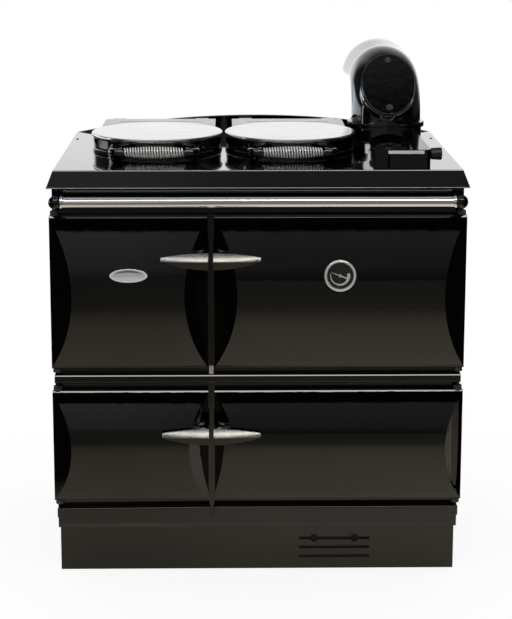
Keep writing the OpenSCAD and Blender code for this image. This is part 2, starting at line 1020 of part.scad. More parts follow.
coil_path = concat(
    [coil_point(0) - [coil_wire, 0, 0]],
    [for (i = [0 : coil_steps]) coil_point(i / coil_steps)],
    [coil_point(1) + [coil_wire, 0, 0]]
);
coil_last = len(coil_path) - 1;

function unit(v) = v / norm(v);

function coil_along(i) = unit(coil_path[min(i + 1, coil_last)] - coil_path[max(i - 1, 0)]);

function coil_side(i) =
    let (u = max(0, min(1, (i - 1) / coil_steps)), t = coil_along(i), out = coil_out(u))
    unit(out - t * (out * t));

function coil_ring(i) =
    let (t = coil_along(i), a = coil_side(i), b = cross(t, a))
    [for (j = [0 : coil_sides - 1])
        coil_path[i] + coil_wire / 2 * (cos(360 * j / coil_sides) * a + sin(360 * j / coil_sides) * b)];

function coil_index(i, j) = i * coil_sides + j % coil_sides;

coil_least_gap = min([for (i = [0 : coil_last], j = [i + coil_rings - 2 : coil_last])
    norm(coil_path[i] - coil_path[j])]) - coil_wire;
echo(str("least gap of a coil to itself: ", coil_least_gap, " mm"));

module coil() {
    polyhedron(
        points = [for (i = [0 : coil_last]) each coil_ring(i)],
        faces = concat(
            [for (j = [1 : coil_sides - 2]) [0, j + 1, j]],
            [for (i = [0 : coil_last - 1], j = [0 : coil_sides - 1]) each [
                [coil_index(i, j), coil_index(i, j + 1), coil_index(i + 1, j + 1)],
                [coil_index(i, j), coil_index(i + 1, j + 1), coil_index(i + 1, j)]
            ]],
            [for (j = [1 : coil_sides - 2])
                [coil_last * coil_sides, coil_last * coil_sides + j, coil_last * coil_sides + j + 1]]
        )
    );
}

module lid_coil(x) {
    color(chrome)
        on_lid(x)
            translate([0, -handle_reach, handle_z])
                coil();
}

module lid_hinge_brackets() {
    color(iron)
        for (x = lid_xs, side = [-1, 1])
            on_lid(x)
                translate([side * hinge_x, hinge_y - lid_y, 0])
                    difference() {
                        union() {
                            for (ear = [-1, 1])
                                mirror([ear > 0 ? 0 : 1, 0, 0])
                                    along_x(knuckle_w / 2 + ear_gap, knuckle_w / 2 + ear_gap + ear_w) {
                                        translate([0, hinge_z])
                                            circle(knuckle_r);
                                        translate([-knuckle_r, hob_top_z])
                                            square([2 * knuckle_r, hinge_rise]);
                                    }
                            box(-knuckle_w / 2 - ear_w, knuckle_w / 2 + ear_w, -knuckle_r, knuckle_r,
                                hob_top_z, hob_top_z + ear_foot_t);
                        }
                        translate([0, 0, hinge_z])
                            rod_x(lid_pin_r + run_gap, -knuckle_w, knuckle_w);
                    }
}

module lid_hinge_pins() {
    half = knuckle_w / 2 + ear_gap + ear_w;
    color(steel)
        for (x = lid_xs, side = [-1, 1])
            translate([x + side * hinge_x, hinge_y, hinge_z])
                rod_x(lid_pin_r, -half, half);
}

// ---------- flue ----------

module flue_box() {
    wall = flue_box_wall;
    hx0 = flue_box_x1 - housing_w;
    color(enamel)
        difference() {
            union() {
                translate([0, 0, hob_top_z])
                    linear_extrude(flue_box_h) {
                        round_rect(flue_box_x0, flue_box_x1, flue_box_y, flue_y, wall / 2);
                        round_rect(hx0, flue_box_x1, flue_box_y - housing_step, flue_box_y + housing_d, housing_r);
                    }
                translate([flue_x, flue_y, hob_top_z]) {
                    cylinder(r = collar_r, h = ring_z - hob_top_z + eps);
                    translate([0, 0, ring_z - hob_top_z])
                        cylinder(r = ring_r, h = ring_h);
                }
            }
            box(flue_box_x0 + wall, flue_box_x1 - wall, flue_box_y + wall, flue_y,
                hob_top_z - over, flue_box_top - flue_box_roof);
            translate([flue_x, flue_y, hob_top_z - over])
                cylinder(r = flue_r, h = flue_box_h + 2 * over);
            translate([0, spindle_y, spindle_z])
                rod_x(spindle_r + run_gap, flue_box_x0 + wall / 2, flue_box_x1 + over);
        }
}

module flue_box_strip() {
    x = flue_box_x1 - housing_w / 2 - 6;
    z = flue_box_top - strip_h - 2;
    y = flue_box_y - housing_step;
    color(chrome)
        box(x - strip_w / 2, x + strip_w / 2, y - strip_t, y, z, z + strip_h);
}

module damper_flap() {
    x = flue_box_x1 - flue_box_wall - 2;
    color(iron)
        translate([0, spindle_y, spindle_z]) {
            rod_x(spindle_r, flue_box_x0 + flue_box_wall / 2 + seat_gap, flue_box_x1 + 1);
            rod_x(flap_hub_r, x - flap_w, x);
            box(x - flap_w, x, -flap_t / 2, flap_t / 2, -flap_len, 0);
        }
}

module damper_knob() {
    color(enamel)
        translate([flue_box_x1 + 1, spindle_y, spindle_z])
            rotate([0, 90, 0])
                rotate_extrude() {
                    square([knob_r - 2, knob_len]);
                    translate([0, 2])
                        square([knob_r, knob_len - 4]);
                    for (z = [2, knob_len - 2])
                        translate([knob_r - 2, z])
                            circle(2);
                }
}

// Elbow's bore or outside, for a pipe of radius r; its three lengths meet flat
module elbow_form(r, z0, y1) {
    translate([0, 0, z0])
        cylinder(r = r, h = bend_z - z0);
    translate([0, flue_bend_r, bend_z])
        rotate([90, 0, -90])
            rotate_extrude(angle = 90)
                translate([flue_bend_r, 0])
                    circle(r);
    translate([0, 0, axis_z])
        rod_y(r, flue_bend_r, y1);
}

// Places things on the face of the soot cover's boss, with local Z pointing straight out
module on_soot_face() {
    translate([flue_x, flue_y + flue_bend_r - soot_reach * cos(soot_angle), bend_z + soot_reach * sin(soot_angle)])
        rotate([90 - soot_angle, 0, 0])
            children();
}

module flue_elbow() {
    boss_d = 50;
    length = outlet_y - flue_y;
    color(enamel)
        difference() {
            union() {
                translate([flue_x, flue_y, 0]) {
                    translate([0, 0, elbow_z])
                        cylinder(r = ring_r, h = elbow_flange);
                    elbow_form(flue_out_r, elbow_z, length);
                    translate([0, 0, axis_z])
                        rod_y(flue_out_r + socket_wall, length - socket_len, length);
                }
                on_soot_face()
                    translate([0, 0, -boss_d])
                        linear_extrude(boss_d)
                            polygon(oval_points(soot_w + soot_rim, soot_l + soot_rim, 60));
            }
            translate([flue_x, flue_y, 0])
                elbow_form(flue_r, elbow_z - over, length + over);
            on_soot_face()
                translate([0, 0, -boss_d - over])
                    linear_extrude(boss_d + 2 * over)
                        polygon(oval_points(soot_w - 5 * soot_rim, soot_l - 8 * soot_rim, 60));
        }
}

module soot_cover() {
    color(enamel)
        on_soot_face() {
            linear_extrude(soot_t - 2)
                polygon(oval_points(soot_w, soot_l, 60));
            linear_extrude(soot_t)
                polygon(oval_points(soot_w - 10, soot_l - 10, 60));
        }
}

module cover_screws() {
    color(iron)
        on_soot_face()
            for (side = [-1, 1])
                translate([0, side * (soot_l / 2 - soot_screw_in), soot_t]) {
                    cylinder(r = soot_screw_r, h = 3);
                    translate([0, 0, 3 - eps])
                        cylinder(r = soot_screw_r - 2, h = 1.5);
                }
}

// ---------- ovens and firebox ----------

function door_x0(door) = door[0] < 0 ? -door_reach + outer_margin : door_reach - door[2] + inner_margin;
function door_x1(door) = door[0] < 0 ? -door_reach + door[2] - inner_margin : door_reach - outer_margin;
function door_z0(door) = door[1] + opening_margin;
function door_z1(door) = door[1] + door[3] - opening_margin;
function shelf_z(door, share) = door_z0(door) + share * (door_z1(door) - door_z0(door));

module oven_box(door, share) {
    x0 = door_x0(door);
    x1 = door_x1(door);
    z0 = door_z0(door);
    z1 = door_z1(door);
    t = oven_wall;
    rest_z = shelf_z(door, share) - shelf_rod_r - seat_gap;
    difference() {
        box(x0 - t, x1 + t, frame_rear, frame_rear + oven_depth + t, z0 - t, z1 + t);
        box(x0, x1, frame_rear - over, frame_rear + oven_depth, z0, z1);
    }
    box(x0 - eps, x0 + runner_w, frame_rear + t, frame_rear + oven_depth, rest_z - runner_t, rest_z);
    box(x1 - runner_w, x1 + eps, frame_rear + t, frame_rear + oven_depth, rest_z - runner_t, rest_z);
}

module main_oven_box() {
    color(iron)
        oven_box(main_oven_door, main_shelf_share);
}

module lower_oven_box() {
    color(iron)
        oven_box(lower_oven_door, lower_shelf_share);
}

// Wire shelf: two cross rods that rest on the runners, and bars between them
module wire_shelf(door, share) {
    x0 = door_x0(door) + shelf_gap;
    x1 = door_x1(door) - shelf_gap;
    y0 = frame_rear + plug_d + 2 * shelf_gap;
    y1 = frame_rear + oven_depth - 2 * shelf_gap;
    pitch = (x1 - x0 - 4 * runner_w) / (shelf_bars - 1);
    translate([0, 0, shelf_z(door, share)]) {
        for (y = [y0, y1])
            translate([0, y, 0])
                rod_x(shelf_rod_r, x0, x1);
        for (i = [0 : shelf_bars - 1])
            translate([x0 + 2 * runner_w + i * pitch, 0, 0])
                rod_y(shelf_bar_r, y0, y1);
    }
}

module oven_shelves() {
    color(steel) {
        wire_shelf(main_oven_door, main_shelf_share);
        wire_shelf(lower_oven_door, lower_shelf_share);
    }
}

firebox_x0 = door_x0(fire_door);
firebox_x1 = door_x1(fire_door);
firebox_z0 = door_z0(ash_door) - firebox_wall;
firebox_z1 = door_z1(fire_door) + firebox_wall;
firebox_rear = frame_rear + firebox_depth;
ledge_z = grate_z + ledge_t;

module firebox() {
    t = firebox_wall;
    x0 = firebox_x0;
    x1 = firebox_x1;
    color(iron)
        difference() {
            box(x0 - t, x1 + t, frame_rear, firebox_rear + t, firebox_z0, firebox_z1);
            box(x0, x1, frame_rear - over, firebox_rear, ledge_z, firebox_z1 + over);
            box(x0, x1, frame_rear - over, firebox_rear, firebox_z0 + t, ledge_z - ledge_t);
            box(x0 + ledge_w, x1 - ledge_w, frame_rear + ledge_t, firebox_rear - ledge_w,
                ledge_z - ledge_t - over, ledge_z + over);
        }
}

module firebricks() {
    z0 = ledge_z;
    z1 = firebox_z1 - 2 * firebox_wall;
    y1 = firebox_rear;
    color("#b58f66") {
        box(firebox_x0, firebox_x0 + brick_t, frame_rear + plug_d, y1 - brick_t, z0, z1);
        box(firebox_x1 - brick_t, firebox_x1, frame_rear + plug_d, y1 - brick_t, z0, z1);
        box(firebox_x0, firebox_x1, y1 - brick_t, y1, z0, z1);
    }
}

module riddling_grate() {
    x0 = firebox_x0 + brick_t + grate_gap;
    x1 = firebox_x1 - brick_t - grate_gap;
    y0 = frame_rear + plug_d + grate_gap;
    y1 = firebox_rear - brick_t - grate_gap - grate_travel;
    bar = (x1 - x0 - grate_slots * grate_slot) / (grate_slots + 1);
    color(iron)
        difference() {
            box(x0, x1, y0, y1, ledge_z + seat_gap, ledge_z + seat_gap + grate_t);
            for (i = [0 : grate_slots - 1])
                translate([x0 + bar + i * (bar + grate_slot), y0 + 2 * grate_slot, ledge_z])
                    cube([grate_slot, y1 - y0 - 4 * grate_slot, 3 * grate_t]);
        }
}

module ash_pan() {
    x0 = firebox_x0 + pan_gap;
    x1 = firebox_x1 - pan_gap;
    y0 = frame_rear + plug_d + pan_gap;
    y1 = firebox_rear - pan_gap;
    z0 = firebox_z0 + firebox_wall + seat_gap;
    color(steel) {
        difference() {
            box(x0, x1, y0, y1, z0, z0 + pan_h);
            box(x0 + pan_wall, x1 - pan_wall, y0 + pan_wall, y1 - pan_wall, z0 + pan_wall, z0 + pan_h + over);
        }
        translate([(x0 + x1) / 2, y0, z0 + 2 * pan_h / 3]) {
            translate([0, -pan_grip, 0])
                rod_x(pan_rod_r, -pan_grip_w / 2, pan_grip_w / 2);
            for (side = [-1, 1])
                translate([side * (pan_grip_w / 2 - pan_rod_r), 0, 0])
                    rod_y(pan_rod_r, -pan_grip, eps);
        }
    }
}

// ---------- thermometer and oval plate ----------

module thermometer_bezel() {
    color(chrome)
        at_thermometer()
            translate([0, 0, -thermo_pocket_d])
                rotate_extrude()
                    difference() {
                        union() {
                            square([thermo_r, bezel_h - 2]);
                            square([thermo_r - 2, bezel_h]);
                            translate([thermo_r - 2, bezel_h - 2])
                                circle(2);
                        }
                        square([2 * (thermo_r - bezel_w), 4 * bezel_h], center = true);
                    }
}

module thermometer_dial() {
    deep = door_edge_t + upper_bulge + plug_d - 4;
    color(enamel)
        at_thermometer() {
            translate([0, 0, -thermo_pocket_d])
                cylinder(r = thermo_r - bezel_w - 2 * run_gap, h = dial_t);
            translate([0, 0, -deep])
                cylinder(r = stem_r, h = deep - thermo_pocket_d + eps);
            cylinder(r = needle_pin_r, h = needle_z + needle_h);
            translate([0, 0, -thermo_pocket_d + dial_t - eps])
                cylinder(r = needle_pin_r, h = thermo_pocket_d - dial_t + 2 * eps);
        }
}

module thermometer_needle() {
    color("white")
        at_thermometer()
            translate([0, 0, needle_z - seat_gap])
                rotate([0, 0, needle_angle])
                    difference() {
                        union() {
                            cylinder(r = needle_hub_r, h = needle_h);
                            linear_extrude(needle_h / 2)
                                polygon([
                                    [-needle_tail, needle_tail_w / 2],
                                    [needle_len, needle_tip_w / 2],
                                    [needle_len, -needle_tip_w / 2],
                                    [-needle_tail, -needle_tail_w / 2]
                                ]);
                        }
                        translate([0, 0, -over])
                            cylinder(r = needle_pin_r + run_gap, h = needle_h + 2 * over);
                    }
}

module thermometer_glass() {
    color("#ffffff40")
        at_thermometer()
            translate([0, 0, glass_z])
                cylinder(r = thermo_r - bezel_w - 2 * run_gap, h = glass_t);
}

module oval_plate() {
    color(chrome)
        difference() {
            on_bulge(plate_x, plate_drop)
                translate([0, 0, -2 * plate_t])
                    linear_extrude(3 * plate_t)
                        polygon(oval_points(plate_w, plate_h, 48));
            on_door(fire_door)
                door_form(fire_door);
        }
}

// ---------- door pieces by name ----------

module fire_door_casting() {
    color(enamel)
        on_door(fire_door)
            door_casting(fire_door);
}

module fire_door_liner() {
    color(iron)
        on_door(fire_door)
            door_liner(fire_door);
}

module fire_door_seal() {
    color("#77736a")
        on_door(fire_door)
            door_seal(fire_door);
}

module fire_door_pull() {
    color(pewter)
        on_door(fire_door)
            door_pull(fire_door);
}

module main_oven_door_casting() {
    deep = door_edge_t + upper_bulge;
    color(enamel)
        difference() {
            on_door(main_oven_door)
                door_casting(main_oven_door);
            at_thermometer() {
                translate([0, 0, -thermo_pocket_d])
                    cylinder(r = thermo_r + thermo_pocket, h = thermo_pocket_d + 3);
                translate([0, 0, -deep / 2])
                    cylinder(r = stem_r + 0.5, h = deep / 2);
            }
        }
}

module main_oven_door_liner() {
    color(iron)
        difference() {
            on_door(main_oven_door)
                door_liner(main_oven_door);
            at_thermometer()
                translate([0, 0, -2 * (door_edge_t + upper_bulge)])
                    cylinder(r = stem_r + 0.5, h = 2 * (door_edge_t + upper_bulge));
        }
}

module main_oven_door_seal() {
    color("#77736a")
        on_door(main_oven_door)
            door_seal(main_oven_door);
}

module main_oven_door_pull() {
    color(pewter)
        on_door(main_oven_door)
            door_pull(main_oven_door);
}

module ash_door_casting() {
    color(enamel)
        on_door(ash_door)
            door_casting(ash_door);
}

module ash_door_liner() {
    color(iron)
        on_door(ash_door)
            door_liner(ash_door);
}

module ash_door_seal() {
    color("#77736a")
        on_door(ash_door)
            door_seal(ash_door);
}

module ash_door_pull() {
    color(pewter)
        on_door(ash_door)
            door_pull(ash_door);
}

module lower_oven_door_casting() {
    color(enamel)
        on_door(lower_oven_door)
            door_casting(lower_oven_door);
}

module lower_oven_door_liner() {
    color(iron)
        on_door(lower_oven_door)
            door_liner(lower_oven_door);
}

module lower_oven_door_seal() {
    color("#77736a")
        on_door(lower_oven_door)
            door_seal(lower_oven_door);
}

module lower_oven_door_pull() {
    color(pewter)
        on_door(lower_oven_door)
            door_pull(lower_oven_door);
}

// ---------- drawing ----------

base_frame();
plinth();
base_plate();
front_frame();
side_panel_left();
side_panel_right();
back_panel();
hinge_pintles();
catch_springs();
lower_trims();
hob_top();
hotplates();
back_upstand();
rail_tube();
rail_brackets();
lid_hinge_brackets();
lid_hinge_pins();
flue_box();
flue_elbow();
soot_cover();
cover_screws();
flue_box_strip();
damper_flap();
damper_knob();
main_oven_box();
lower_oven_box();
oven_shelves();
firebox();
firebricks();
riddling_grate();
ash_pan();
fire_door_casting();
fire_door_liner();
fire_door_seal();
fire_door_pull();
oval_plate();
main_oven_door_casting();
main_oven_door_liner();
main_oven_door_seal();
main_oven_door_pull();
ash_door_casting();
ash_door_liner();
ash_door_seal();
ash_door_pull();
lower_oven_door_casting();
lower_oven_door_liner();
lower_oven_door_seal();
lower_oven_door_pull();
thermometer_bezel();
thermometer_dial();
thermometer_needle();
thermometer_glass();
lid_cap(lid_left_x);  // left_lid_cap
lid_shell(lid_left_x);  // left_lid_shell
lid_arms(lid_left_x);  // left_lid_arms
lid_coil(lid_left_x);  // left_lid_coil
lid_cap(lid_right_x);  // right_lid_cap
lid_shell(lid_right_x);  // right_lid_shell
lid_arms(lid_right_x);  // right_lid_arms
lid_coil(lid_right_x);  // right_lid_coil
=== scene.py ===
"""Dresses the range cooker: vitreous enamel castings, bright lids and rail, pewter pulls."""

import math

import bmesh
import bpy
from bpy.props import FloatProperty, FloatVectorProperty, IntProperty, PointerProperty
from mathutils import Matrix, Vector


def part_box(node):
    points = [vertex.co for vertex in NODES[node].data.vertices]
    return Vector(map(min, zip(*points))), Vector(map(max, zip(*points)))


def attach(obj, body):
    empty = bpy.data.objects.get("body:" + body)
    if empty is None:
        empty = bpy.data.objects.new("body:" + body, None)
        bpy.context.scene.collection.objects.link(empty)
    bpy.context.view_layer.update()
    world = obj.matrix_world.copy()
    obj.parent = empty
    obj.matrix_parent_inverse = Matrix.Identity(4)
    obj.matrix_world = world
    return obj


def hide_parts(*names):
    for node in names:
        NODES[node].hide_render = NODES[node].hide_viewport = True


bl_info = {
    "name": "Range Cooker Dresser",
    "version": (1, 0, 0),
    "blender": (4, 5, 0),
    "location": "View3D > Sidebar > Range",
    "description": "Models and finishes the pieces of an enamelled cast iron range cooker",
    "category": "Object",
}

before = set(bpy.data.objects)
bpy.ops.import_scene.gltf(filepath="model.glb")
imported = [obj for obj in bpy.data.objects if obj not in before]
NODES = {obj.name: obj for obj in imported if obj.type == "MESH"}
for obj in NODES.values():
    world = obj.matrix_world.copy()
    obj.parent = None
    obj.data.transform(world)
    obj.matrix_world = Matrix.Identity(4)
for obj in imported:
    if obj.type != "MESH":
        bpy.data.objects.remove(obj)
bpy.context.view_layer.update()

MM = 0.001
X = Vector((1, 0, 0))
Y = Vector((0, 1, 0))
Z = Vector((0, 0, 1))

# Sizes that the part's source gives, in millimetres and degrees.
# A door is EDGE_T thick at its edges, with a flat LAND above and below the bulge.
EDGE_T = 19
LAND = 5
HINGE_ROUND = 9.5
SPLIT_X = -101
POST_FRONT = -291
BEAD_TOP = 462
BEAD_FACE = -295
PULL_STAND = 12
PULL_RIDGES = (727.5, 340.5)
THERMO_X = 173
THERMO_Z = 691
THERMO_R = 34
PLATE_X = -275
PLATE_Z = 692
PLATE_W = 80
PLATE_H = 29
LID_XS = (-226, 79)
LID_Y = 14
LID_R = 150
SHELL_R = 147
LID_HINGE = (233, 940)
HOB_TOP = 910
BODY_TOP = 872.5
HOB_EYE_R = 140
FLUE = (312, 150)
PIPE_R = 82.5
BORE_R = 76
BEND_R = 85
BEND_Z = 960
PIPE_Z = 1045
SOOT_ANGLE = 31
SOOT_REACH = 169.5
SLOTS_X = (93, 250)
SLOT_TOP = 71
SLOT_PITCH = 21
SLOT_H = 6.5
FINGER_XS = (126.5, 216.5)
FINGER_R = 9

# Shapes that only the dressing has, in millimetres and degrees.
# The planes that cut a door's ends run this far inwards for 1 forwards, from this far behind its edge.
CHAMFER_SLOPE = 1.24
CHAMFER_DEEP = 1.5
LOWER_ROUND = 3.8
# The facet along the top of a door: how far it leans back and how tall it is.
LOWER_GLINT = (34, 2.4)
UPPER_GLINT = (31, 3.8)
# The hob's rim: an upright lip, then steps of height, draw-in at the sides and draw-in at the front.
RIM_LIP = 0.8
RIM_STEPS = ((2.2, 0.8, 0.8), (37.5, 14, 13))
# The facet along the top of the rim: how far it leans back and how far in it starts.
RIM_TILT = 30
RIM_GLINT = 0.45

DOORS = ("fire_door", "main_oven_door", "ash_door", "lower_oven_door")
LIDS = ("left_lid", "right_lid")


# ---------- sizes and colours that a user would change ----------


def number(name, description, default, low=0.0, high=100.0, kind="NONE"):
    return FloatProperty(
        name=name, description=description, default=default, min=low, max=high, subtype=kind,
    )


def length(name, description, default, low, high):
    return number(name, description, default, low, high, "DISTANCE")


def tint(name, description, default):
    return FloatVectorProperty(
        name=name, description=description, default=default, subtype="COLOR", size=3, min=0, max=1,
    )


class EnamelSettings(bpy.types.PropertyGroup):
    colour: tint("Colour", "Colour of the enamel", (0.0010, 0.0010, 0.0011))
    roughness: number("Roughness", "Roughness of the hob under its clear top layer", 0.07, 0, 1)
    polish: number("Polish", "Roughness of the glassy surface itself", 0.02, 0, 1)
    ripple: length("Ripple", "Height of the slow waves in the fired surface", 0.00013, 0, 0.001)


class MetalSettings(bpy.types.PropertyGroup):
    chrome: tint("Chrome", "Colour of the bright plating", (0.80, 0.81, 0.83))
    pewter: tint("Pewter", "Colour of the door pulls", (0.205, 0.205, 0.195))
    iron: tint("Iron", "Colour of the bare cast iron", (0.055, 0.055, 0.058))


class CastingSettings(bpy.types.PropertyGroup):
    edge_round: length("Edge rounding", "Rounding of the castings' edges", 0.0016, 0.0002, 0.004)
    rim_round: length("Rim rounding", "Rounding of the hob's rim", 0.0006, 0.0002, 0.002)
    trim_tilt: number("Trim tilt", "How far the left lower trim hangs out of true", 0.008, 0, 0.02, "ANGLE")


class CoilSettings(bpy.types.PropertyGroup):
    turns: IntProperty(name="Turns", description="Turns of wire in a handle", min=12, max=30, default=22)
    wire: length("Wire", "Thickness of the wire", 0.0036, 0.002, 0.005)
    end_width: length("End width", "Outer width of the coil at its ends", 0.019, 0.014, 0.02)
    mid_width: length("Middle width", "Outer width of the coil at its middle", 0.0275, 0.02, 0.03)
    bow: length("Bow", "How far the handle bows forwards", 0.005, 0, 0.006)


class StageSettings(bpy.types.PropertyGroup):
    backdrop: number("Backdrop", "Strength of the white backdrop", 1.0, 0, 2)
    studio: number("Studio", "Strength of the dim room in front, as gloss shows it", 0.15, 0, 1)
    fill: number("Fill", "Strength of the even light on matt surfaces", 0.75, 0, 2)
    softbox: number("Softbox", "Brightness of the long softbox in front, as gloss shows it", 12.0)
    side: number("Side light", "Power of the cooler lamp on the left", 1.2, kind="POWER")
    lens: number("Lens", "Focal length of the camera in millimetres", 93.05, 20, 300)


GROUPS = {
    "range_enamel": EnamelSettings,
    "range_metal": MetalSettings,
    "range_castings": CastingSettings,
    "range_coil": CoilSettings,
    "range_stage": StageSettings,
}


# ---------- modelling as by hand ----------


def at(x, y, z):
    """A place given in millimetres."""
    return Vector((x, y, z)) * MM


def deselect():
    if bpy.context.object and bpy.context.object.mode != "OBJECT":
        bpy.ops.object.mode_set(mode="OBJECT")
    bpy.ops.object.select_all(action="DESELECT")


def only(piece):
    deselect()
    piece.select_set(True)
    bpy.context.view_layer.objects.active = piece


def settle(piece):
    """Puts a piece's place, turn and size into its mesh."""
    only(piece)
    bpy.ops.object.transform_apply(location=True, rotation=True, scale=True)
    return piece


def new_piece(name):
    piece = bpy.context.object
    piece.name = name
    piece.data.name = name
    return settle(piece)


def block(name, low, high):
    """A box between two corners, in millimetres."""
    low, high = at(*low), at(*high)
    deselect()
    bpy.ops.mesh.primitive_cube_add(size=1, location=(low + high) / 2, scale=high - low)
    return new_piece(name)


def drum(name, radius, start, end, vertices=96):
    """A cylinder of a radius, between two points, in millimetres."""
    start, end = at(*start), at(*end)
    deselect()
    bpy.ops.mesh.primitive_cylinder_add(
        vertices=vertices, radius=radius * MM, depth=(end - start).length, location=(start + end) / 2,
        rotation=(end - start).to_track_quat("Z", "Y").to_euler(),
    )
    return new_piece(name)


def pick(piece, kind, test):
    """Goes into edit mode with the vertices, edges or faces selected that pass a test."""
    only(piece)
    bpy.ops.object.mode_set(mode="EDIT")
    bpy.ops.mesh.select_mode(type=kind)
    bpy.ops.mesh.select_all(action="DESELECT")
    shape = bmesh.from_edit_mesh(piece.data)
    for part in {"VERT": shape.verts, "EDGE": shape.edges, "FACE": shape.faces}[kind]:
        if test(part):
            part.select_set(True)
    shape.select_flush_mode()
    bmesh.update_edit_mesh(piece.data)


def put_down():
    bpy.ops.object.mode_set(mode="OBJECT")


def slice_off(piece, point, normal):
    """Cuts away what lies beyond a plane and closes the cut."""
    pick(piece, "VERT", lambda v: True)
    bpy.ops.mesh.bisect(plane_co=point, plane_no=normal, use_fill=True, clear_outer=True)
    put_down()


def leaning(tilt):
    """The way that a front leaning back by a tilt faces, in degrees."""
    return Vector((0, -math.cos(math.radians(tilt)), math.sin(math.radians(tilt))))


def carve(piece, tool, how="DIFFERENCE"):
    """Cuts a tool out of a piece, or joins it on, and puts the tool away."""
    only(piece)
    step = piece.modifiers.new("carve", "BOOLEAN")
    step.operation = how
    step.solver = "EXACT"
    step.object = tool
    bpy.ops.object.modifier_apply(modifier=step.name)
    bpy.data.objects.remove(tool, do_unlink=True)
    return piece


def round_edges(piece, width, steps=3, angle=30):
    only(piece)
    step = piece.modifiers.new("round", "BEVEL")
    step.width = width
    step.segments = steps
    step.limit_method = "ANGLE"
    step.angle_limit = math.radians(angle)
    bpy.ops.object.modifier_apply(modifier=step.name)
    return piece


def clean(piece):
    """Merges doubles and turns every face outwards."""
    pick(piece, "VERT", lambda v: True)
    bpy.ops.mesh.remove_doubles(threshold=1e-6)
    bpy.ops.mesh.select_all(action="SELECT")
    bpy.ops.mesh.normals_make_consistent(inside=False)
    put_down()
    return piece


def smooth(piece, angle=32):
    only(piece)
    bpy.ops.object.shade_smooth_by_angle(angle=math.radians(angle))
    step = piece.modifiers.new("even", "WEIGHTED_NORMAL")
    step.keep_sharp = True
    bpy.ops.object.modifier_apply(modifier=step.name)
    return piece


def turned(name, outline, place=(0, 0, 0), axis=Z, steps=128):
    """Turns an outline of (radius, height) pairs, in millimetres, about an axis through a place."""
    deselect()
    bpy.ops.mesh.primitive_plane_add(size=MM, location=at(outline[0][0], 0, outline[0][1]))
    piece = new_piece(name)
    pick(piece, "VERT", lambda v: True)
    bpy.ops.mesh.merge(type="CENTER")
    for (r0, h0), (r1, h1) in zip(outline, outline[1:]):
        bpy.ops.mesh.extrude_region_move(TRANSFORM_OT_translate={"value": at(r1 - r0, 0, h1 - h0)})
    bpy.ops.mesh.select_all(action="SELECT")
    bpy.ops.mesh.spin(steps=steps, angle=2 * math.pi, center=(0, 0, 0), axis=(0, 0, 1))
    put_down()
    piece.matrix_world = Matrix.Translation(at(*place)) @ axis.to_track_quat("Z", "Y").to_matrix().to_4x4()
    return clean(settle(piece))


def copy_of(piece, name):
    """Another piece with its own mesh."""
    other = piece.copy()
    other.data = piece.data.copy()
    other.name = name
    other.data.name = name
    bpy.context.scene.collection.objects.link(other)
    return other


def flip_x(piece, middle):
    """Mirrors a piece across the plane at x = middle, in metres."""
    piece.matrix_world = Matrix.Translation((2 * middle, 0, 0)) @ Matrix.Scale(-1, 4, X)
    return clean(settle(piece))


def soft_copy(node, name, width):
    """A node's own shape with its sharp edges rounded."""
    piece = NODES[node].copy()
    piece.data = NODES[node].data.copy()
    for key in list(piece.keys()):
        del piece[key]
    piece.name = name
    piece.data.name = name
    piece.parent = None
    bpy.context.scene.collection.objects.link(piece)
    piece.hide_render = False
    clean(piece)
    only(piece)
    bpy.ops.mesh.customdata_custom_splitnormals_clear()
    pick(piece, "FACE", lambda f: True)
    bpy.ops.mesh.dissolve_limited(angle_limit=math.radians(0.2))
    put_down()
    return round_edges(piece, width, 2) if width else piece


def hand_over(piece, body, slot, finish, *nodes):
    """Gives a finished piece its surface and its body, and lets it stand for the nodes named. The slot is
    not used.
    """
    piece.data.materials.clear()
    piece.data.materials.append(FINISHES[finish])
    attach(piece, body)
    if nodes:
        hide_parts(*nodes)
    return piece


def corners(node):
    """Lowest and highest corner of a node, in millimetres."""
    low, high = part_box(node)
    return low / MM, high / MM


# ---------- shader maths ----------


class Wire:
    """A number on its way through the nodes of a material."""

    def __init__(self, paint, socket):
        self.paint = paint
        self.socket = socket

    def sum(self, how, *values):
        return self.paint.node("ShaderNodeMath", {"operation": how}, [self, *values])

    def __add__(self, other):
        return self.sum("ADD", other)

    def __sub__(self, other):
        return self.sum("SUBTRACT", other)

    def __mul__(self, other):
        return self.sum("MULTIPLY", other)

    def __truediv__(self, other):
        return self.sum("DIVIDE", other)

    def __rsub__(self, other):
        return self.paint.node("ShaderNodeMath", {"operation": "SUBTRACT"}, [other, self])

    def __rtruediv__(self, other):
        return self.paint.node("ShaderNodeMath", {"operation": "DIVIDE"}, [other, self])

    __radd__ = __add__
    __rmul__ = __mul__

    def __neg__(self):
        return 0 - self

    def __gt__(self, other):
        return self.sum("GREATER_THAN", other)

    def __lt__(self, other):
        return self.sum("LESS_THAN", other)

    def __abs__(self):
        return self.sum("ABSOLUTE")

    def __pow__(self, other):
        return self.sum("POWER", other)

    def clamped(self):
        return self.paint.node("ShaderNodeClamp", {}, [self])

    def step(self, low, high):
        """0 below low and 1 above high, with a smooth rise between them."""
        return self.paint.node(
            "ShaderNodeMapRange", {"interpolation_type": "SMOOTHSTEP"},
            {"Value": self, "From Min": low, "From Max": high},
        )


